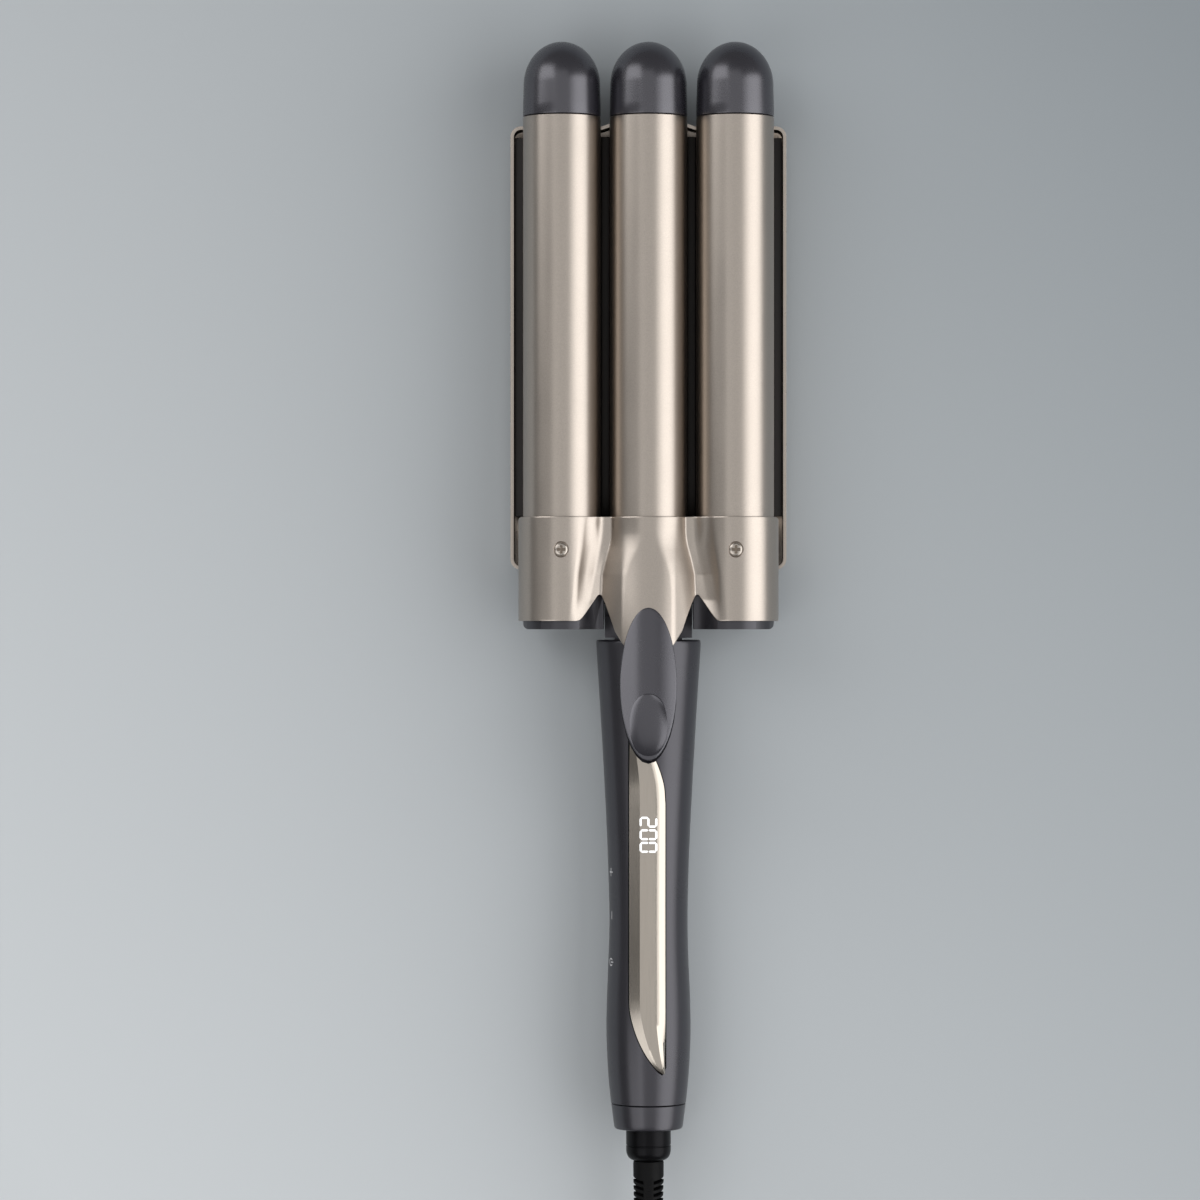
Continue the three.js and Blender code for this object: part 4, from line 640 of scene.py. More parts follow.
def make_finishes():
    """One material for each material slot of the record, and two for the prints."""
    tones = colours()
    champagne, plastic, dark, rubber = map(tuple, (tones.champagne, tones.plastic, tones.dark, tones.rubber))
    return {
        "barrel_coating": champagne_coat("Barrel coat", champagne, 0.3),
        "cover_metal": champagne_coat("Cover coat", champagne, 0.29),
        "tray_metal": champagne_coat("Tray coat", champagne, 0.26, relief=0.001),
        # Lit and shaded copies of the one grey plastic: lighter for the tips and the lever, which is painted light;
        # darker for the base and the neck, which is painted shade.
        "tip_plastic": moulded_plastic("Tip plastic with painted light", shade(plastic, 1.2), 0.27, 0.003, 0.9, 1.6),
        "base_plastic": moulded_plastic("Base plastic with painted shade", shade(plastic, 0.7), 0.3, gloss=0.7),
        "neck_plastic": moulded_plastic("Neck plastic with painted shade", shade(plastic, 0.6), 0.3, gloss=0.6),
        "lever_plastic": moulded_plastic("Lever plastic with painted light", shade(plastic, 1.2), 0.26, 0.002, 0.9),
        "handle_plastic": moulded_plastic("Handle plastic", plastic, 0.28, 0.004, 0.64),
        "button_plastic": moulded_plastic("Button plastic", plastic, 0.34),
        "arm_plastic": moulded_plastic("Arm plastic", dark, 0.2, gloss=0.4, index=1.5),
        "collar_plastic": moulded_plastic("Collar plastic", shade(dark, 0.6), 0.3, gloss=0.12, index=1.5),
        "back_plastic": moulded_plastic("Back plastic", shade(dark, 2.5), 0.45, 0.02, 0.5, 1.5),
        "switch_plastic": moulded_plastic("Switch plastic", dark, 0.5, gloss=0.5, index=1.5),
        "tie_plastic": moulded_plastic("Tie band", shade(dark, 2.5), 0.5, gloss=0.4, index=1.5),
        "relief_rubber": rubber_coat("Relief rubber", shade(rubber, 0.6), 0.5),
        "cord_jacket": rubber_coat("Cord jacket", rubber, 0.42),
        "plug_rubber": rubber_coat("Plug rubber", rubber, 0.5),
        "inlay_gloss": inlay_coat("Inlay gloss", tuple(tones.inlay)),
        "plate_coating": plate_coat("Plate coat", tuple(tones.plate)),
        "screw_steel": bare_metal("Plated steel", (0.46, 0.415, 0.37), 0.24),
        "hinge_steel": bare_metal("Ground steel", (0.55, 0.55, 0.56), 0.2, (0.05, 1, 1)),
        "spreader_aluminium": bare_metal("Extruded aluminium", (0.5, 0.5, 0.51), 0.35, (1, 0.04, 1)),
        "bush_brass": bare_metal("Turned brass", (0.52, 0.38, 0.14), 0.25, (0.1, 1, 1)),
        "blade_brass": bare_metal("Bright brass", (0.62, 0.5, 0.24), 0.2, (1, 0.1, 1)),
        "heater_ceramic": ceramic_body("Fired ceramic", (0.72, 0.69, 0.62)),
        "sheet_mica": mica_sheet("Pressed mica", (0.56, 0.5, 0.41)),
        "board_laminate": laminate("Board laminate", (0.02, 0.16, 0.07)),
        "display_window": smoked_window("Smoked window"),
        "figures": lit_figures("Lit figures", tuple(tones.figures)),
        "print": printed_mark("Pad print", tuple(tones.print)),
    }


FINISHES = {}


def finish_of(slot):
    """The material of a slot, made when it is first asked for."""
    if not FINISHES:
        FINISHES.update(make_finishes())
    return FINISHES[slot]


# Shapes shared by several pieces


# The handle's full width and depth at shares of its length
HANDLE_SHARES = [0, 0.225, 0.43, 0.59, 0.735, 0.805, 0.9, 1]
HANDLE_WIDTHS = [34.5, 30.1, 26.8, 25.7, 27.3, 27.6, 26.1, 22.4]
HANDLE_DEPTHS = [28, 26.5, 25.4, 25, 26.5, 26.8, 25.5, 22.2]


def handle_half(y):
    """Half the handle's width and depth at a station."""
    share = min(max((HANDLE_TOP - y) / HANDLE_LENGTH, 0), 1)
    knots = HANDLE_SHARES
    i = max(k for k in range(len(knots) - 1) if knots[k] <= share)
    span = knots[i + 1] - knots[i]
    t = (share - knots[i]) / span
    result = []
    for values in (HANDLE_WIDTHS, HANDLE_DEPTHS):
        def slope(k):
            low, high = max(k - 1, 0), min(k + 1, len(knots) - 1)
            return (values[high] - values[low]) / (knots[high] - knots[low])
        a, b = values[i], values[i + 1]
        result.append(
            ((1 + 2 * t) * (1 - t) ** 2 * a + t * (1 - t) ** 2 * span * slope(i)
             + t * t * (3 - 2 * t) * b + t * t * (t - 1) * span * slope(i + 1)) / 2
        )
    return result


def handle_surface(x, y):
    """Height of the handle's front at a point."""
    half, deep = handle_half(y)
    return HANDLE_Z + deep * math.sqrt(max(1 - (x / half) ** 2, 0))


def loft_handle(name, stations, close_first=False, sides=96):
    """Rings of the handle's section at (station, inset), pulled on from one to the next, with the last one filled."""
    bpy.ops.object.select_all(action="DESELECT")
    y, inset = stations[0]
    half, deep = handle_half(y)
    wide, tall = half - inset, deep - inset
    bpy.ops.mesh.primitive_circle_add(
        vertices=sides, radius=MM, fill_type="NOTHING", location=(0, y * MM, HANDLE_Z * MM),
        rotation=(math.pi / 2, 0, 0),
    )
    piece = name_piece(name)
    settle(piece, (wide, tall, 1))
    bpy.ops.object.mode_set(mode="EDIT")
    bpy.ops.mesh.select_all(action="SELECT")
    if close_first:
        bpy.ops.mesh.edge_face_add()
    for station, inset in stations[1:]:
        half, deep = handle_half(station)
        new_wide, new_tall = half - inset, deep - inset
        bpy.ops.mesh.extrude_region_move(TRANSFORM_OT_translate={"value": (0, (station - y) * MM, 0)})
        bpy.ops.transform.resize(
            value=(new_wide / wide, 1, new_tall / tall), center_override=(0, station * MM, HANDLE_Z * MM)
        )
        y, wide, tall = station, new_wide, new_tall
    bpy.ops.mesh.edge_face_add()
    tidy_mesh()
    return piece


def pan_head(name, x, y, top, radius, height, shank, reach, up=1):
    """A pan screw with a cross recess. It faces up or down, and its shank goes the other way."""
    rim = [(0, 0), (0.55, 0.01), (0.86, 0.1), (1, 0.34), (1, 1)]
    profile = [(radius * share, top - up * height * drop) for share, drop in rim]
    end = top - up * (height + reach)
    profile += [(shank, top - up * height), (shank, end), (0, end)]
    screw = turn(name, profile, (x, y, 0), "Z", 40)
    long = radius * 0.66
    cross = rod("cross", radius * 0.25, (x, y - long, top), (x, y + long, top), 4)
    across = rod("across", radius * 0.25, (x - long, y, top), (x + long, y, top), 4)
    carve(screw, cross, across)
    return screw


# Camera, floor and light


# Name, first and last direction off the zenith in degrees, distance, near and far end along Y, level and lean
PANELS = [
    ("Overhead", -27, 20, 2.3, -1.7, 1.7, 0.6, 0),
    ("Left", -76, -25, 1.9, 0.48, 1.9, 2.15, 10),
    ("Left foot", -58, -16, 2.3, -1.9, -0.3, 1.3, 0),
    ("Right wide", 24, 86, 1.7, -1.7, 0.8, 1.45, 0),
    ("Right core", 38, 76, 1.6, -1.7, 0.8, 0.9, 0),
]


class WAVER_OT_stage(bpy.types.Operator):
    """Adds the camera, the pale floor and the studio light"""

    bl_idname = "waver.stage"
    bl_label = "Stage"

    def execute(self, context):
        setup = stage_settings()
        bpy.ops.object.select_all(action="DESELECT")
        bpy.ops.object.camera_add(location=(0, -0.002, 1.5218), rotation=(0, 0, 0))
        camera = context.object
        camera.name = "Camera"
        camera.data.lens = 137.7
        camera.data.sensor_width = 36
        camera.data.shift_x = -0.0404
        camera.data.shift_y = 0.0067
        context.scene.camera = camera

        bpy.ops.mesh.primitive_plane_add(size=6)
        floor = name_piece("floor")
        finish = Finish("Floor")
        spot = finish.node("ShaderNodeTexCoord", output="Object")
        parts = finish.tree.nodes.new("ShaderNodeSeparateXYZ")
        finish.tree.links.new(spot.socket, parts.inputs[0])
        x, y = Value(finish, parts.outputs[0]), Value(finish, parts.outputs[1])
        # Painted light: the floor's colour runs from the lighter end at the lower left to the darker end at the upper
        # right.
        slope = x * 1.45 + (y * 1.12 + 0.5)
        fine = finish.noise(2.5, detail=2)
        ramp = finish.ramp(slope, (0.0, tuple(setup.floor_painted_light)), (1.0, tuple(setup.floor_painted_shade)))
        finish.set(Base_Color=ramp, Roughness=0.75 + fine * 0.1, Specular_IOR_Level=0.1)
        floor.data.materials.append(finish.material)

        world = bpy.data.worlds.new("Studio")
        world.use_nodes = True
        level = setup.world_level
        world.node_tree.nodes["Background"].inputs["Color"].default_value = (level, level, level, 1)
        context.scene.world = world
        for panel in PANELS:
            self.panel(*panel)
        context.scene.view_settings.view_transform = "Standard"
        return {"FINISHED"}

    def panel(self, name, start, end, distance, near, far, level, lean):
        """A soft panel along the floor's Y axis, between two directions off the zenith, that shows at a level."""
        middle = math.radians((start + end) / 2)
        away = Vector((math.sin(middle), 0, math.cos(middle)))
        across = 2 * distance * math.tan(math.radians((end - start) / 2))
        turned = Matrix((Vector((away.z, 0, -away.x)), Vector((0, 1, 0)), away)).transposed()
        turned = (turned @ Matrix.Rotation(math.radians(lean), 3, "Z")).to_euler()
        place = away * distance + Vector((0, (near + far) / 2, 0.02))
        bpy.ops.object.light_add(type="AREA", location=place, rotation=turned)
        lamp = bpy.context.object
        lamp.name = name
        lamp.data.shape = "RECTANGLE"
        lamp.data.size = across
        lamp.data.size_y = far - near
        lamp.data.energy = level * math.pi * across * (far - near)


# Cord, tie and plug


CORD_RADIUS = 3.0
LEAD_ROUTE = [
    (0, -230.0, 16.5), (0, -239.3, 16.35), (0, -248.3, 15.1), (0, -257.3, 11.85), (0, -266.3, 10.6),
    (0, -305.3, 10.45),
]
COIL_CENTRE = (49.7, -311.6)
COIL_TURNS = 7.5
COIL_INNER, COIL_PITCH, COIL_HIGH = 23.5, 6.55, 10.45
COIL_SWAP = 4
TAIL_ROUTE = [
    (95.48, -305.3, 3.9), (95.48, -297.3, 3.9), (93.88, -287.3, 4.2), (87.78, -276.3, 6), (86.28, -269.0, 6.9),
    (86.18, -263.9, 7),
]
PLUG_PLACE = (86.18, -258.6)


def coil_point(turned):
    """A point of the coil: the turns wind in on the upper layer and out again on the lower one."""
    radius = COIL_INNER + COIL_PITCH * (math.sqrt((turned - COIL_SWAP) ** 2 + 0.01) - 0.1)
    angle = math.pi + 2 * math.pi * turned
    height = COIL_HIGH - COIL_PITCH * smoothstep(turned, COIL_SWAP - 0.25, COIL_SWAP + 0.25)
    return (COIL_CENTRE[0] + radius * math.cos(angle), COIL_CENTRE[1] + radius * math.sin(angle), height)


class WAVER_OT_cord(bpy.types.Operator):
    """Lays the cord with its coil, and adds the band and the plug"""

    bl_idname = "waver.cord"
    bl_label = "Cord and plug"

    def execute(self, context):
        steps = 130
        lead = [tuple(point) for point in curve_through(LEAD_ROUTE, 3)]
        coil = [coil_point(COIL_TURNS * i / steps) for i in range(steps + 1)]
        tail = [tuple(point) for point in curve_through(TAIL_ROUTE, 3)]
        route = lead + coil + tail
        line = bpy.data.curves.new("cord", "CURVE")
        line.dimensions = "3D"
        line.resolution_u = 5
        line.bevel_depth = CORD_RADIUS * MM
        line.bevel_resolution = 5
        line.use_fill_caps = True
        spline = line.splines.new("BEZIER")
        spline.bezier_points.add(len(route) - 1)
        for point, place in zip(spline.bezier_points, route):
            point.co = Vector(place) * MM
            point.handle_left_type = point.handle_right_type = "AUTO"
        cord = bpy.data.objects.new("cord", line)
        context.scene.collection.objects.link(cord)
        line.materials.append(finish_of("cord_jacket"))
        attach(cord, "handle")
        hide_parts("cord_lead", "cord_coil", "cord_tail")
        tie, plug, blades = self.band(), self.plug(), self.blades()
        return {"FINISHED"}

    def band(self):
        """A soft band round one side of the coil."""
        low, high = node_box("cord_tie")
        outline = [(x, low.y, z) for x, z in corners(low.x, high.x, low.z, high.z, 3.2)]
        band = prism("cord_band", outline, (0, high.y - low.y, 0))
        pick_faces(band, lambda middle, normal: abs(normal.y) > 0.9)
        bpy.ops.mesh.inset(thickness=0.8 * MM)
        bpy.ops.mesh.bridge_edge_loops()
        tidy_mesh()
        round_edges(band, 0.2)
        return complete(band, "handle", "tie_plastic", ["cord_tie"])

    def plug(self):
        """A moulded plug with a thin nose, a sleeve and ridges for the fingers."""
        x, tail = PLUG_PLACE
        front = tail + 31
        outline = [(px, py, 0) for px, py in corners(x - 11.5, x + 11.5, tail, front, 4)]
        body = prism("plug_grip", outline, (0, 0, 14))
        for z0, z1 in ((11.9, 15), (-1, 2.1)):
            carve(body, box_piece("nose", (x - 20, tail + 17, z0), (x + 20, front + 1, z1)))
        round_edges(body, 0.9, 40, 3)
        ridges = []
        for i in range(4):
            y = tail + 4 + 3.2 * i
            shape = [(px, py, 13.6) for px, py in corners(x - 8, x + 8, y, y + 1.4, 0.6, 3)]
            ridge = prism("ridge", shape, (0, 0, 0.35))
            round_edges(ridge, 0.15)
            ridges.append(ridge)
        sleeve = turn(
            "sleeve",
            [
                (3.05, tail - 5), (3.9, tail - 5), (4.1, tail - 4.7), (4.4, tail - 1.4), (4.6, tail + 1.6),
                (3.05, tail + 1.6), (3.05, tail - 5),
            ],
            (x, 0, 7),
        )
        plug = join_pieces(*ridges, sleeve, body)
        plug.name = "plug_grip"
        return complete(plug, "handle", "plug_rubber", ["plug_body"])

    def blades(self):
        """Two flat blades with pointed ends and a hole each."""
        made = []
        for side in ("left", "right"):
            node = "plug_blade_" + side
            low, high = node_box(node)
            outline = [
                (low.x, low.y, low.z), (low.x, high.y - 1.6, low.z), (low.x, high.y, low.z + 1.2),
                (low.x, high.y, high.z - 1.2), (low.x, high.y - 1.6, high.z), (low.x, low.y, high.z),
            ]
            blade = prism("blade_" + side, outline, (high.x - low.x, 0, 0))
            middle = (low.z + high.z) / 2
            carve(blade, rod("hole", 1.6, (low.x - 1, high.y - 4.4, middle), (high.x + 1, high.y - 4.4, middle)))
            round_edges(blade, 0.2)
            made.append(complete(blade, "handle", "blade_brass", [node]))
        return made


# Barrels and tips


def fill_lanes(first, name, slot, node):
    """Copies the middle lane's piece to the other lanes and completes all three."""
    for side, step in LANES:
        shift = (step * mm(sizes().barrel_pitch), 0, 0)
        piece = first if step == 0 else copy_piece(first, name + side, shift)
        complete(piece, "jaw", slot, [node + side])


class WAVER_OT_barrels(bpy.types.Operator):
    """Turns one barrel and copies it to the other lanes"""

    bl_idname = "waver.barrels"
    bl_label = "Barrels"

    def execute(self, context):
        size = sizes()
        radius, wall = mm(size.barrel_diameter) / 2, mm(size.barrel_wall)
        low, high = millimetres("barrel_centre", 0, 1), millimetres("barrel_centre", 1, 1)
        axis = (millimetres("barrel_centre", 0, 2) + millimetres("barrel_centre", 1, 2)) / 2
        edge = 0.22
        profile = [
            (radius - wall, low), (radius - edge, low), (radius, low + edge), (radius, low + 20),
            (radius, (low + high) / 2), (radius, high - 20), (radius, high - edge), (radius - edge, high),
            (radius - wall, high), (radius - wall, (low + high) / 2), (radius - wall, low),
        ]
        first = turn("barrel_tube_centre", profile, (0, 0, axis), steps=128)
        fill_lanes(first, "barrel_tube_", "barrel_coating", "barrel_")
        return {"FINISHED"}


class WAVER_OT_tips(bpy.types.Operator):
    """Turns one dome tip with its spigot and copies it to the other lanes"""

    bl_idname = "waver.tips"
    bl_label = "Tips"

    def execute(self, context):
        seam, shoulder, top = 158.5, 168.8, millimetres("tip_centre", 1, 1)
        foot = millimetres("tip_centre", 0, 1)
        axis = millimetres("tip_centre", 0, 2) + 12.7
        profile = [(0, 171), (5, 170.4), (8, 168), (8, foot), (11.1, foot), (11.1, seam), (12.35, seam)]
        profile += [(12.62, seam + 0.15), (12.7, seam + 0.45), (12.68, seam + 4)]
        for i in range(33):
            angle = math.radians(90 * i / 32)
            profile.append((12.5 * math.cos(angle), shoulder + (top - shoulder) * math.sin(angle)))
        first = turn("tip_dome_centre", profile, (0, 0, axis), steps=128)
        fill_lanes(first, "tip_dome_", "tip_plastic", "tip_")
        return {"FINISHED"}


# Yoke


COVER_RADIUS = 14.2
COVER_TOP = 27.7
COVER_SKIRT = 16.8
COVER_LOWEST = 29.4
BARREL_Z = 21.8
SCREW_SPOT = (LANE_PITCH, 17.0)
# The cover's lower edge: distance from the middle, and station
COVER_FOOT = [
    (0, -15.8), (6.0, -15.8), (6.8, -15.4), (8.6, -13.4), (10.9, -9.7), (12.7, -4.5), (14.2, -0.4), (15.0, 1.4),
    (15.5, 2.25), (15.95, 2.4), (16.5, 2.0), (18.3, -0.6), (20.3, -3.6), (21.4, -5.1), (22.2, -5.85), (23.2, -6.2),
    (24, -6.2),
]
# Station, and half the width of the middle lobe's flat arch there
ARCH = [(-20, 7.2), (3, 7.2), (9, 6.7), (13, 5.3), (17.6, 2.9), (22, 1.2), (28, 0.5)]
# Station, where the folds stand from the outside in, and how steep the surface is between them
PLEATS = [
    (-6.2, (26.0, 23.4, 21.3, 20.0, 19.2), (0.45, 0.35, 0.3, 0.2)),
    (0.6, (25.0, 22.9, 20.6, 19.4, 18.6), (0.85, 0.6, 0.45, 0.3)),
    (9.0, (24.2, 22.2, 20.1, 18.2, 17.0), (1.1, 0.65, 0.6, 0.3)),
    (17.6, (23.2, 21.1, 18.3, 16.4, 15.2), (0.98, 0.58, 0.5, 0.15)),
    (25.5, (22.6, 20.4, 18.5, 16.5, 13.2), (0.88, 0.52, 0.85, 0.05)),
    (27.7, (22.4, 20.2, 18.3, 16.4, 12.8), (0.88, 0.52, 0.85, 0.05)),
]


def soft_max(first, second, blend):
    """The larger of two heights, rounded where they are nearly equal."""
    near = max(blend - abs(first - second), 0) / blend
    return max(first, second) + near * near * blend / 4


def pleats_at(y):
    """Where the folds of the valley stand at a station, from the outside in, and how steep the surface is there."""
    y = min(max(y, PLEATS[0][0]), PLEATS[-1][0])
    for (y0, at0, fall0), (y1, at1, fall1) in zip(PLEATS, PLEATS[1:]):
        if y <= y1:
            t = (y - y0) / (y1 - y0)
            mix = [[a + (b - a) * t for a, b in zip(low, high)] for low, high in ((at0, at1), (fall0, fall1))]
            return mix[0], mix[1]


def outer_lobe(out, y):
    """The round over an outer barrel, which falls to the valley in pleats."""
    stands, falls = pleats_at(y)
    offset = LANE_PITCH - max(out, stands[0])
    height = BARREL_Z + math.sqrt(COVER_RADIUS**2 - offset**2)
    fall = offset / (height - BARREL_Z)
    depth = mm(sizes().cover_seam)
    for start, end, steeper in zip(stands, stands[1:], falls):
        if out >= start:
            break
        run = start - max(out, end)
        height -= depth * (fall * run + (steeper - fall) * run**2 / (2 * (start - end)))
        fall = steeper
    return height - depth * fall * max(stands[-1] - out, 0)


def middle_lobe(out, y):
    """The round over the middle barrel, which climbs and narrows to the lever."""
    climb = smoothstep(COVER_TOP - y, 0, 43.5)
    top = BARREL_Z + COVER_RADIUS + mm(sizes().cover_rise) * climb
    inside = min(out, 13.2)
    round_drop = COVER_RADIUS - math.sqrt(COVER_RADIUS**2 - inside**2)
    round_drop += (out - inside) * inside / math.sqrt(COVER_RADIUS**2 - inside**2)
    start = along(ARCH, y)
    edge, slope, steep = 9, 0.04 * start, 0.88
    shoulder, flank = min(max(out - start, 0), edge - start), max(out - edge, 0)
    flared_drop = 0.02 * min(out, start) ** 2 + slope * shoulder
    flared_drop += (steep - slope) / (edge - start) / 2 * shoulder**2 + steep * flank + 0.005 * flank**2
    share = smoothstep(COVER_TOP - y, 0, 12)
    return top - round_drop - (flared_drop - round_drop) * share


def cover_height(x, y):
    """Height of the cover's surface between the outer barrels' axes."""
    return soft_max(soft_max(outer_lobe(abs(x), y), middle_lobe(abs(x), y), 0.7), COVER_LOWEST, 0.6)


class WAVER_OT_yoke_cover(bpy.types.Operator):
    """Shapes the champagne cover from a grid, with its valleys, notches and screw seats"""

    bl_idname = "waver.yoke_cover"
    bl_label = "Yoke cover"

    def execute(self, context):
        across, round_steps = 130, 40
        half = [(LANE_PITCH * i / across, None) for i in range(across)]
        for i in range(round_steps + 1):
            angle = math.radians(90 * i / round_steps)
            half.append((LANE_PITCH + COVER_RADIUS * math.sin(angle), BARREL_Z + COVER_RADIUS * math.cos(angle)))
        half += [(LANE_PITCH + COVER_RADIUS, BARREL_Z - (BARREL_Z - COVER_SKIRT) * i / 7) for i in range(1, 8)]
        section = [(-x, z) for x, z in reversed(half[1:])] + half
        rows = 70
        bpy.ops.object.select_all(action="DESELECT")
        bpy.ops.mesh.primitive_grid_add(x_subdivisions=len(section) - 1, y_subdivisions=rows, size=2 * MM)
        cover = name_piece("cover_shell")
        corner_start, corner_radius = 41.3, 1.25

        def place(u, v, _):
            x, z = section[round((u + 1) / 2 * (len(section) - 1))]
            foot = along(COVER_FOOT, abs(x))
            corner = min(max(abs(x) - corner_start, 0), 1.2)
            top = COVER_TOP - (corner_radius - math.sqrt(corner_radius**2 - corner**2))
            y = foot + (top - foot) * (v + 1) / 2
            return (x, y, cover_height(x, y) if z is None else z)

        move_vertices(cover, place)
        modify(cover, "SOLIDIFY", thickness=sizes().cover_wall, offset=-1, use_even_offset=True)
        round_edges(cover, 0.28, 55, 2)
        x, y = SCREW_SPOT
        for side in (-1, 1):
            seat = [(0, 34.95), (2.2, 34.95), (2.2, 35.5), (2.66, 35.96), (2.66, 38), (0, 38)]
            shank = rod("shank", 1.3, (side * x, y, 33), (side * x, y, 36), 32)
            carve(cover, turn("seat", seat, (side * x, y, 0), "Z", 48), shank)
        complete(cover, "jaw", "cover_metal", ["yoke_cover"], 25)
        return {"FINISHED"}


class WAVER_OT_yoke_base(bpy.types.Operator):
    """Takes the grey base that carries the barrels from the solids"""

    bl_idname = "waver.yoke_base"
    bl_label = "Yoke base"

    def execute(self, context):
        base = copy_node("yoke_base", "base_block")
        complete(base, "jaw", "base_plastic", ["yoke_base"])
        return {"FINISHED"}


class WAVER_OT_neck(bpy.types.Operator):
    """Takes the neck between the rear jaw and the handle from the solids"""

    bl_idname = "waver.neck"
    bl_label = "Neck"

    def execute(self, context):
        neck = copy_node("neck", "neck_block")
        complete(neck, "handle", "neck_plastic", ["neck"])
        return {"FINISHED"}


# Thumb lever


ARM_FRONT, ARM_LOW, ARM_SLOPE = -15.8, 36.61, 0.265


def lever_under(y):
    """Height of the arm's underside at a station."""
    return ARM_LOW + (ARM_FRONT - y) * ARM_SLOPE


class WAVER_OT_lever(bpy.types.Operator):
    """Shapes the lever's pad with its dish, and fits the arm under it"""

    bl_idname = "waver.lever"
    bl_label = "Thumb lever"

    def execute(self, context):
        size = sizes()
        half, long, crown = mm(size.lever_width) / 2, mm(size.lever_length) / 2, mm(size.lever_crown)
        middle, foot, head = -26.4, -51.9, -2.3
        arm_height, pad_seat, pad_lift = 2.6, 2.62, 0.35
        over_cover, cover_gap = -16.1, 0.3
        rings = 26
        profile = [(100 * i / rings * 0.972, 100) for i in range(rings)]
        profile += [(97.2, 100), (98.9, 97), (99.7, 90), (100, 80)]
        profile += [(100 * (10 - i) / 10, 0) for i in range(11)]
        pad = turn("pad_cap", profile, (0, 0, 0), "Z", 128)

        def surface(x, y):
            share = (y - foot) / (head - foot)
            thick = 2.2 + 2.0 * share
            return lever_under(y) + arm_height + thick + pad_lift - crown * (x / half) ** 2

        def place(u, v, w):
            x, y = half * u / 100, middle + long * v / 100
            under = lever_under(y) + pad_seat
            if y > over_cover:
                under = max(under, cover_height(x, y) + cover_gap)
            return (x, y, under + (surface(x, y) - under) * w / 100)

        move_vertices(pad, place)
        dish_y = middle - long + 11.4
        bpy.ops.object.select_all(action="DESELECT")
        bpy.ops.mesh.primitive_uv_sphere_add(
            segments=96, ring_count=48, radius=MM, location=(0, dish_y * MM, (surface(0, dish_y) - 0.3) * MM),
            rotation=(-0.225, 0, 0),
        )
        bowl = name_piece("bowl")
        settle(bowl, (6.6, 10.4, 1.6))
        carve(pad, bowl)
        complete(pad, "jaw", "lever_plastic", ["lever_pad"], 13)
        arm = copy_node("lever_arm", "arm_block")
        move_vertices(arm, lambda x, y, z: (x, y + 0.9 * smoothstep(-y, 34, 52), z))
        complete(arm, "jaw", "arm_plastic", ["lever_arm"])
        return {"FINISHED"}


# Rear jaw


TRAY_HALF = 45.35
TRAY_LOW, TRAY_HIGH = 10.6, 156.3
TRAY_UNDER = 2.2
TRAY_WALL = 1.1
TRAY_HEIGHT, TRAY_DEPTH = 11.3, 10.1
BACK_INSET = 4.2
GROOVE_RADIUS = 14.2
PLATE_GAP = 0.3
BACK_SCREWS = [(-14.15, 40.2), (14.15, 40.2), (-14.15, 140.6), (14.15, 140.6), (-9, 19.2), (9, 19.2)]


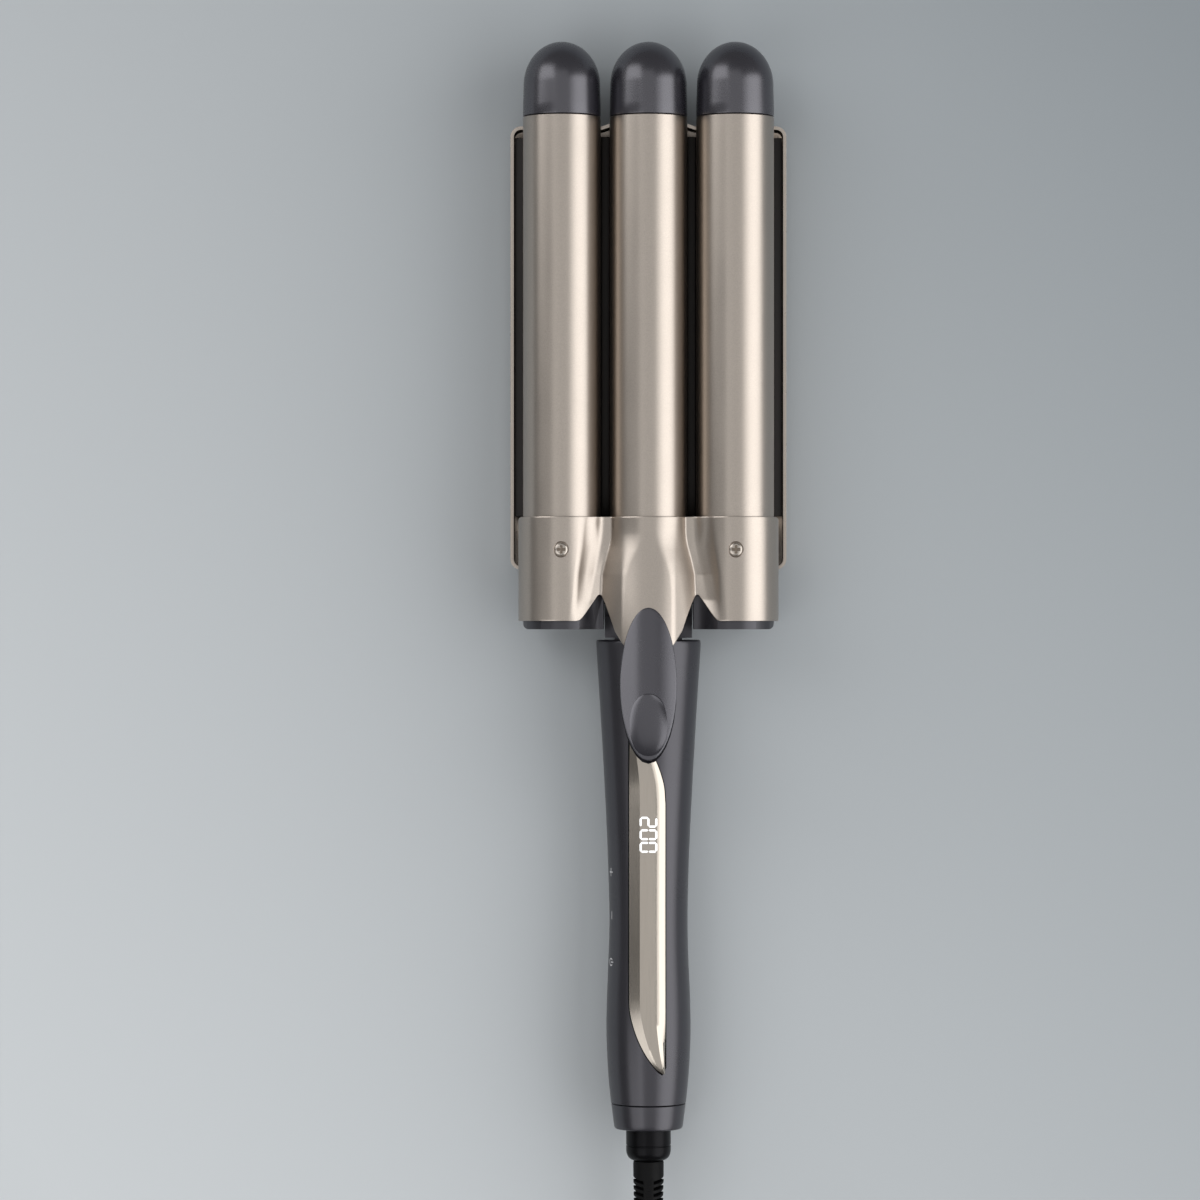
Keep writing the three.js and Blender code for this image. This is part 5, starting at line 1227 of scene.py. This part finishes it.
class WAVER_OT_rear_jaw(bpy.types.Operator):
    """Models the tray, its back cover and the ribbed plate"""

    bl_idname = "waver.rear_jaw"
    bl_label = "Rear jaw"

    def execute(self, context):
        self.tray()
        self.back()
        self.plate()
        return {"FINISHED"}

    def tray_plan(self):
        """The tray's outline, which bulges a little over the middle barrel."""
        points = corners(-TRAY_HALF, TRAY_HALF, TRAY_LOW, TRAY_HIGH, 3.5)
        bulge = TRAY_HIGH + 0.9
        crown = [(15.4, TRAY_HIGH), (12.6, bulge), (-12.6, bulge), (-15.4, TRAY_HIGH)]
        quarter = len(points) // 4
        return points[:quarter] + crown + points[quarter:]

    def tray(self):
        wall = mm(sizes().tray_wall)
        tray = prism("tray_shell", [(x, y, TRAY_UNDER) for x, y in self.tray_plan()], (0, 0, TRAY_HEIGHT))
        pick_faces(tray, lambda middle, normal: normal.z > 0.9)
        bpy.ops.mesh.inset(thickness=wall * MM)
        bpy.ops.mesh.extrude_region_move(TRANSFORM_OT_translate={"value": (0, 0, -TRAY_DEPTH * MM)})
        tidy_mesh()
        cuts = [
            box_piece("slot", (-14.7, 9, 3.4), (14.7, 12.8, 15)),
            box_piece("opening", (-41.8, 9, 8.8), (41.8, 12.8, 15)),
        ]
        for _, step in LANES:
            x = step * LANE_PITCH
            cuts.append(rod("groove", GROOVE_RADIUS, (x, 152.8, BARREL_Z), (x, 159, BARREL_Z), 96))
        carve(tray, *cuts)
        round_edges(tray, 0.42, 50, 3)
        complete(tray, "handle", "tray_metal", ["rear_tray"], angle=20)

    def back(self):
        x, y0, y1 = TRAY_HALF - BACK_INSET, TRAY_LOW + BACK_INSET, TRAY_HIGH - BACK_INSET
        outline = [(px, py, TRAY_UNDER) for px, py in corners(-x, x, y0, y1, 4.3)]
        cover = prism("back_panel", outline, (0, 0, -TRAY_UNDER))
        pick_faces(cover, lambda middle, normal: normal.z < -0.9)
        bpy.ops.mesh.bevel(offset=0.8 * MM, segments=3, affect="EDGES")
        tidy_mesh()
        pick_faces(cover, lambda middle, normal: normal.z < -0.999 and middle.z < 0.05)
        bpy.ops.mesh.inset(thickness=3.2 * MM)
        bpy.ops.mesh.inset(thickness=0.5 * MM, depth=-0.25 * MM)
        bpy.ops.mesh.inset(thickness=0.5 * MM, depth=0.25 * MM)
        tidy_mesh()
        for sx, sy in BACK_SCREWS:
            carve(cover, rod("recess", 2.8, (sx, sy, -1), (sx, sy, 1.6), 32))
        complete(cover, "handle", "back_plastic", ["back_cover"])

    def plate(self):
        """The plate's section runs over the grooves and the ridges between them, and back underneath."""

        def contour(radius, ridge, flange):
            low = math.asin((flange - BARREL_Z) / radius)
            high = math.asin((ridge - BARREL_Z) / radius)
            inner, outer = -math.pi - high, -math.pi - low
            arcs = [(-LANE_PITCH, outer, high), (0, inner, high), (LANE_PITCH, inner, low)]
            points = []
            for x, start, end in arcs:
                for i in range(17):
                    angle = start + (end - start) * i / 16
                    points.append((x + radius * math.cos(angle), BARREL_Z + radius * math.sin(angle)))
            return points

        reach = TRAY_HALF - TRAY_WALL - PLATE_GAP
        top = [(-reach, 12.0)] + contour(GROOVE_RADIUS, 15.8, 12.0) + [(reach, 12.0)]
        under = [(-reach, 10.8)] + contour(15.4, 13.8, 10.8) + [(reach, 10.8)]
        low, high = millimetres("clamp_plate", 0, 1), millimetres("clamp_plate", 1, 1)
        outline = [(x, low, z) for x, z in under + list(reversed(top))]
        plate = prism("ribbed_plate", outline, (0, high - low, 0))
        round_edges(plate, 0.2, 50)
        posts = [
            turn("post", [(0, 3.5), (2.1, 3.5), (2.1, 14.0), (0, 14.0)], (x, y, 0), "Z", 24)
            for x, y in BACK_SCREWS[:4]
        ]
        plate = join_pieces(*posts, plate)
        complete(plate, "handle", "plate_coating", ["clamp_plate"])


# Handle


HANDLE_SCREWS = [-37.4, -154.4]
BUTTONS = [("plus", -88.3), ("minus", -102.4), ("power", -117.7)]
INLAY_LEFT, INLAY_RIGHT = -6.3, 5.5
INLAY_LIFT = 0.42
INLAY_FOOT = [(-6.3, -129.8), (-5.8, -134.8), (-3.8, -141.5), (-0.9, -147.4), (2.6, -152.2), (4.4, -153.7)]
INLAY_HEAD = [(5.5, -65.8), (4.9, -59.3), (2.4, -51.8), (-1.4, -45.0), (-4.4, -40.6), (-5.7, -39.4)]
SMOOTH_FOOT = [(p.x, p.y) for p in curve_through([(x, y, 0) for x, y in INLAY_FOOT], 6)]
SMOOTH_HEAD = [(p.x, p.y) for p in curve_through([(x, y, 0) for x, y in INLAY_HEAD], 6)]


def inlay_edges(y):
    """The inlay's left and right edge at a station."""
    left = along([(b, a) for a, b in reversed(SMOOTH_FOOT)], y) if y < INLAY_FOOT[0][1] else INLAY_LEFT
    right = along([(b, a) for a, b in SMOOTH_HEAD], y) if y > INLAY_HEAD[0][1] else INLAY_RIGHT
    return left, right


class WAVER_OT_handle(bpy.types.Operator):
    """Lofts the handle, parts it into its two shells and adds the end cap"""

    bl_idname = "waver.handle"
    bl_label = "Handle"

    def execute(self, context):
        seam = CAP_SEAM + 0.12
        stations = [(seam, 0.16), (seam + 0.16, 0.0)]
        rings = 58
        stations += [(seam + 0.25 + (HANDLE_TOP - 1.1 - seam - 0.25) * i / rings, 0) for i in range(1, rings + 1)]
        stations += [(HANDLE_TOP - 0.5, 0.12), (HANDLE_TOP - 0.15, 0.4), (HANDLE_TOP, 0.85)]
        for part, height, clear in (("front", 10.15, "inner"), ("back", 9.85, "outer")):
            shell = loft_handle("shell_" + part, stations)
            select_only(shell)
            bpy.ops.object.mode_set(mode="EDIT")
            bpy.ops.mesh.select_all(action="SELECT")
            bpy.ops.mesh.bisect(
                plane_co=(0, 0, height * MM), plane_no=(0, 0, 1),
                clear_inner=clear == "inner", clear_outer=clear == "outer",
            )
            tidy_mesh()
            modify(shell, "SOLIDIFY", thickness=sizes().handle_wall, offset=-1, use_even_offset=True)
            carve(shell, box_piece("mouth", (-11.3, HANDLE_TOP - 4, 9.2), (11.3, HANDLE_TOP + 1, 23.8)))
            if part == "front":
                self.open_front(shell)
            else:
                for y in HANDLE_SCREWS:
                    surface = 2 * HANDLE_Z - handle_surface(0, y)
                    carve(shell, rod("recess", 2.45, (0, y, surface - 2), (0, y, surface + 2.6), 32))
                    foot = surface + 2.0
                    tube = [(1.3, foot), (3, foot), (3, height), (1.3, height), (1.3, foot)]
                    post = turn("post", tube, (0, y, 0), "Z", 32)
                    join_pieces(post, shell)
            complete(shell, "handle", "handle_plastic", ["handle_" + part], 25)
        self.end_cap()
        return {"FINISHED"}

    def open_front(self, shell):
        """Cuts the inlay's opening and the three button openings."""
        gap = mm(sizes().inlay_gap)
        rim = SMOOTH_FOOT + [(INLAY_RIGHT, -151.6)] + SMOOTH_HEAD + [(INLAY_LEFT, -41.2)]
        rim = [Vector((x, y, 0)) for x, y in rim]
        grown = []
        for i, here in enumerate(rim):
            one = (here - rim[i - 1]).normalized()
            two = (rim[(i + 1) % len(rim)] - here).normalized()
            side = (one + two).normalized()
            reach = gap / max(0.6, abs(side.dot(two)))
            grown.append((here.x + side.y * reach, here.y - side.x * reach, 22.0))
        carve(shell, prism("opening", grown, (0, 0, 14)))
        for name, y in BUTTONS:
            outline = [(-20, py, pz) for py, pz in corners(y - 4.8, y + 4.8, 12.2, 17.8, 1.5)]
            carve(shell, prism("opening", outline, (12, 0, 0)))

    def end_cap(self):
        stations = [(CAP_SEAM - 0.12, 0.16), (CAP_SEAM - 0.28, 0)]
        stations += [(CAP_SEAM - 0.4 - i * 0.95, 0) for i in range(1, 7)]
        stations += [(HANDLE_END + 0.75, 0.03), (HANDLE_END + 0.3, 0.2), (HANDLE_END + 0.08, 0.5), (HANDLE_END, 0.95)]
        cap = loft_handle("cap_shell", stations, close_first=True)
        carve(cap, rod("mouth", 7.65, (0, HANDLE_END - 1, HANDLE_Z), (0, HANDLE_END + 5, HANDLE_Z), 96))
        complete(cap, "handle", "handle_plastic", ["end_cap"], 25)


# The bars that each digit lights
DIGITS = {"2": "abged", "0": "abcdef"}


class WAVER_OT_inlay(bpy.types.Operator):
    """Shapes the faceted inlay from a grid and sets the lit digits on it"""

    bl_idname = "waver.inlay"
    bl_label = "Inlay and digits"

    def execute(self, context):
        rows, columns = 120, 8
        low, high = INLAY_FOOT[-1][1], INLAY_HEAD[-1][1]
        bpy.ops.object.select_all(action="DESELECT")
        bpy.ops.mesh.primitive_grid_add(x_subdivisions=columns, y_subdivisions=rows, size=2 * MM)
        inlay = name_piece("inlay_strip")

        def place(u, v, _):
            share = (v + 1) / 2
            share -= 0.045 * math.sin(2 * math.pi * share)
            y = low + (high - low) * share
            left, right = inlay_edges(y)
            wide = max(right - left, 0.02)
            ridge_left, ridge_right = left + min(3.5, 0.3 * wide), right - min(3.0, 0.27 * wide)
            level = max(handle_surface(ridge_left, y), handle_surface(ridge_right, y)) + INLAY_LIFT * min(1, wide / 8)
            column = round((u + 1) / 2 * columns)
            rim = handle_surface(right, y) - 0.2
            stops = [
                (0, left, handle_surface(left, y) - 0.32), (2, ridge_left, level), (6, ridge_right, level),
                (7, right - 0.36 * (right - ridge_right), level - 0.45 * (level - rim)), (8, right, rim),
            ]
            for (a, x0, z0), (b, x1, z1) in zip(stops, stops[1:]):
                if a <= column <= b:
                    t = (column - a) / (b - a)
                    return (x0 + (x1 - x0) * t, y, z0 + (z1 - z0) * t)

        move_vertices(inlay, place)
        modify(inlay, "SOLIDIFY", thickness=1.2 * MM, offset=-1)
        complete(inlay, "handle", "inlay_gloss", ["inlay_panel"], 21)
        self.digits("200")
        return {"FINISHED"}

    def digits(self, text):
        """Digits of up to seven bars each, turned so that they read down the handle."""
        tall = mm(sizes().digit_height)
        wide, stroke, pitch = tall * 0.56, tall * 0.135, tall * 0.8
        bars = []
        for i, digit in enumerate(text):
            top = -70.2 - i * pitch
            spots = {
                "a": (1, 0.5, "y"), "d": (0, 0.5, "y"), "g": (0.5, 0.5, "y"),
                "f": (0.75, 0, "x"), "b": (0.75, 1, "x"), "e": (0.25, 0, "x"), "c": (0.25, 1, "x"),
            }
            for key in DIGITS[digit]:
                up, across, run = spots[key]
                x, y = -tall / 2 + tall * up, top - wide * across
                reach = (wide if run == "y" else tall / 2) / 2 - stroke * 0.1
                bars.append(self.bar(x, y, reach, stroke / 2, run))
        figures = join_pieces(*bars)
        figures.name = "display_digits"
        complete(figures, "handle", "display_window", finish="figures")

    def bar(self, x, y, reach, half, run):
        """A thin bar with pointed ends on the inlay's flat."""
        low, high = -reach + half, reach - half
        shape = [(-reach, 0), (low, -half), (high, -half), (reach, 0), (high, half), (low, half)]
        level = max(handle_surface(INLAY_LEFT + 3.55, y), handle_surface(INLAY_RIGHT - 2.9, y)) + INLAY_LIFT
        points = [(x + a, y + b, level - 0.02) if run == "x" else (x + b, y + a, level - 0.02) for a, b in shape]
        return prism("bar", points, (0, 0, 0.06))


class WAVER_OT_buttons(bpy.types.Operator):
    """Shapes the three side buttons and prints their marks"""

    bl_idname = "waver.buttons"
    bl_label = "Buttons and marks"

    def execute(self, context):
        for name, y in BUTTONS:
            face = millimetres("button_" + name, 0, 0)
            outline = [(face + 3, py, pz) for py, pz in corners(y - 4.45, y + 4.45, 12.55, 17.45, 1.3)]
            button = prism("key_" + name, outline, (-3.0, 0, 0))
            pick_faces(button, lambda middle, normal: normal.x < -0.9)
            bpy.ops.mesh.inset(thickness=0.9 * MM)
            bpy.ops.mesh.inset(thickness=0.6 * MM, depth=-0.22 * MM)
            tidy_mesh()
            move_vertices(button, self.follow_side)
            round_edges(button, 0.2)
            complete(button, "button_" + name, "button_plastic", ["button_" + name])
            self.mark(name, y)
        return {"FINISHED"}

    def follow_side(self, x, y, z):
        """Bends the button's face to the handle's side."""
        half, deep = handle_half(y)
        side = half * math.sqrt(1 - ((z - HANDLE_Z) / deep) ** 2)
        face_from, flat_side = -12, 13.32
        return (x if x > face_from else x - side + flat_side, y, z)

    def mark(self, name, y):
        """A plus, a minus or a power sign printed above its button."""
        if name == "plus":
            bars = [self.stroke((-1.2, 0), (1.2, 0), y), self.stroke((0, -1.2), (0, 1.2), y)]
        elif name == "minus":
            bars = [self.stroke((-1.2, 0), (1.2, 0), y)]
        else:
            ring = []
            for i in range(13):
                angle = math.radians(130 + 280 * i / 12)
                ring.append((1.15 * math.cos(angle), 1.15 * math.sin(angle)))
            bars = [self.stroke(a, b, y) for a, b in zip(ring, ring[1:])]
            bars.append(self.stroke((0, 0), (0, 1.5), y))
        printed = join_pieces(*bars)
        printed.name = "mark_" + name
        complete(printed, "handle", "handle_plastic", finish="print")

    def stroke(self, start, end, y, width=0.36):
        """A printed stroke on the handle's side; its first axis runs along the handle."""
        one, two = Vector((*start, 0)), Vector((*end, 0))
        side = (two - one).normalized().cross(Vector((0, 0, 1))) * width / 2
        reach = (two - one).normalized() * width * 0.3
        flat = [one - reach + side, one - reach - side, two + reach - side, two + reach + side]
        half, deep = handle_half(y)
        middle, bend, lift, thick = math.radians(158), 13, 0.03, 0.04
        points = []
        for spot in flat:
            angle = middle - spot.y / bend
            points.append(((half + lift) * math.cos(angle), y + spot.x, HANDLE_Z + (deep + lift) * math.sin(angle)))
        return prism("stroke", points, Vector((math.cos(middle), 0, math.sin(middle))) * thick)


# Swivel collar and strain relief


class WAVER_OT_swivel(bpy.types.Operator):
    """Turns the swivel collar and the slotted strain relief"""

    bl_idname = "waver.swivel"
    bl_label = "Swivel and strain relief"

    def execute(self, context):
        centre = (0, 0, HANDLE_Z)
        end = -183.0
        profile = [(0, -168.4), (8.5, -168.4), (8.5, -170.2), (7.35, -170.4), (7.35, -177.7), (7.12, -177.85)]
        profile += [(7.12, -178.15), (7.35, -178.3), (7.35, end + 3.4)]
        for i in range(1, 13):
            angle = math.radians(78 * i / 12)
            profile.append((5.0 + 2.35 * math.cos(angle) * 0.98 + 0.02, end + 3.4 - 3.25 * math.sin(angle)))
        profile += [(4.95, end), (0, end)]
        collar = turn("collar_ring", profile, centre, steps=96)
        complete(collar, "swivel", "collar_plastic", ["swivel_collar"])

        start, tail = -183.3, -230.0
        plain = end - 5.2
        slots, slot_pitch, slot_width, core, slope = 11, 2.06, 1.0, 3.3, 0.27

        def radius(y):
            return 5 - (plain - y) / (plain - tail) if y < plain else 5.0

        profile = [(0, start), (4.9, start), (5.0, start - 0.3), (5.0, plain + 0.15)]
        for i in range(slots):
            high = plain - i * slot_pitch
            low = high - slot_width
            profile += [(radius(high) - 0.15, high), (core, high - 0.1), (core, low + 0.1), (radius(low) - 0.15, low)]
            profile += [(radius(low), low - 0.15), (radius(low - 0.9), low - 0.9)]
        profile += [(radius(tail + 0.8), tail + 0.8), (radius(tail) - 0.3, tail + 0.1), (3.4, tail), (0, tail)]
        relief = turn("relief_sleeve", profile, centre, steps=80)
        web = []
        for sign in (1, -1):
            for y in (plain + 1, plain - 11.5, plain - 23.5):
                web.append((-1.65, y, HANDLE_Z + sign * (radius(y) - 0.06)))
            if sign == 1:
                web.reverse()
        bar = prism("web", web, (3.3, 0, 0))
        round_edges(bar, 0.35, 40, 3)
        relief = join_pieces(bar, relief)

        def slant(x, y, z):
            share = smoothstep(start - y, 1.2, 4.6) * smoothstep(y - tail, 1, 12)
            return (x, y - slope * abs(z - HANDLE_Z) * share, z)

        move_vertices(relief, slant)
        complete(relief, "swivel", "relief_rubber", ["strain_relief"])
        return {"FINISHED"}


# Screws and inner pieces


class WAVER_OT_screws(bpy.types.Operator):
    """Turns the screws that show and cuts their cross recesses"""

    bl_idname = "waver.screws"
    bl_label = "Screws"

    def execute(self, context):
        x, y = SCREW_SPOT
        for side, sign in (("left", -1), ("right", 1)):
            screw = pan_head("pan_cover_" + side, sign * x, y, 35.85, 2.08, 0.85, 1.0, 5)
            self.done(screw, "jaw", "cover_screw_" + side)
        rear = ["plate_screw_%d" % i for i in range(1, 5)] + ["foot_screw_left", "foot_screw_right"]
        # Nodes, the head's radius and height, the shank's radius, which way the head faces, and body
        kinds = [
            (rear, 2.5, 1.2, 1.2, -1, "handle"),
            (["handle_screw_upper", "handle_screw_lower"], 2.3, 1.4, 1.1, -1, "handle"),
            (["lever_screw"], 2.2, 1.1, 1.0, 1, "jaw"),
        ]
        for nodes, radius, height, shank, up, body in kinds:
            for node in nodes:
                low, high = node_box(node)
                middle, reach = (low + high) / 2, high.z - low.z - height
                top = high.z if up > 0 else low.z
                screw = pan_head("pan_" + node, middle.x, middle.y, top, radius, height, shank, reach, up)
                self.done(screw, body, node)
        return {"FINISHED"}

    def done(self, screw, body, node):
        complete(screw, body, "screw_steel", [node])


class WAVER_OT_inner(bpy.types.Operator):
    """Gives every CAD node that still shows its finish"""

    bl_idname = "waver.inner"
    bl_label = "Inner pieces"

    def execute(self, context):
        slots = {entry["node"]: entry["material_slot"] for entry in frame["record"]["subparts"]}
        for node, slot in slots.items():
            piece = frame["nodes"][node]
            for place in piece.material_slots:
                place.material = finish_of(slot)
        return {"FINISHED"}


OPERATORS = [
    WAVER_OT_stage, WAVER_OT_cord, WAVER_OT_barrels, WAVER_OT_tips, WAVER_OT_yoke_cover, WAVER_OT_yoke_base,
    WAVER_OT_neck, WAVER_OT_lever, WAVER_OT_rear_jaw, WAVER_OT_handle, WAVER_OT_inlay, WAVER_OT_buttons,
    WAVER_OT_swivel, WAVER_OT_screws, WAVER_OT_inner,
]


class WAVER_PT_panel(bpy.types.Panel):
    """Lists the sizes, the colours and the pieces"""

    bl_label = "Hair Waver"
    bl_idname = "WAVER_PT_panel"
    bl_space_type = "VIEW_3D"
    bl_region_type = "UI"
    bl_category = "Waver"

    def draw(self, context):
        scene = context.scene
        groups = {"Sizes": scene.waver_sizes, "Colours": scene.waver_colours, "Stage": scene.waver_stage}
        for title, group in groups.items():
            box = self.layout.box()
            box.label(text=title)
            for key in group.__annotations__:
                box.prop(group, key)
        column = self.layout.column()
        for operator in OPERATORS:
            column.operator(operator.bl_idname)


CLASSES = [WaverSizes, WaverColours, WaverStage, *OPERATORS, WAVER_PT_panel]


def register():
    for one in CLASSES:
        bpy.utils.register_class(one)
    bpy.types.Scene.waver_sizes = bpy.props.PointerProperty(type=WaverSizes)
    bpy.types.Scene.waver_colours = bpy.props.PointerProperty(type=WaverColours)
    bpy.types.Scene.waver_stage = bpy.props.PointerProperty(type=WaverStage)


def unregister():
    for key in ("waver_stage", "waver_colours", "waver_sizes"):
        delattr(bpy.types.Scene, key)
    for one in reversed(CLASSES):
        bpy.utils.unregister_class(one)


def main():
    register()
    for operator in OPERATORS:
        group, name = operator.bl_idname.split(".")
        getattr(getattr(bpy.ops, group), name)()


if __name__ == "__main__":
    main()
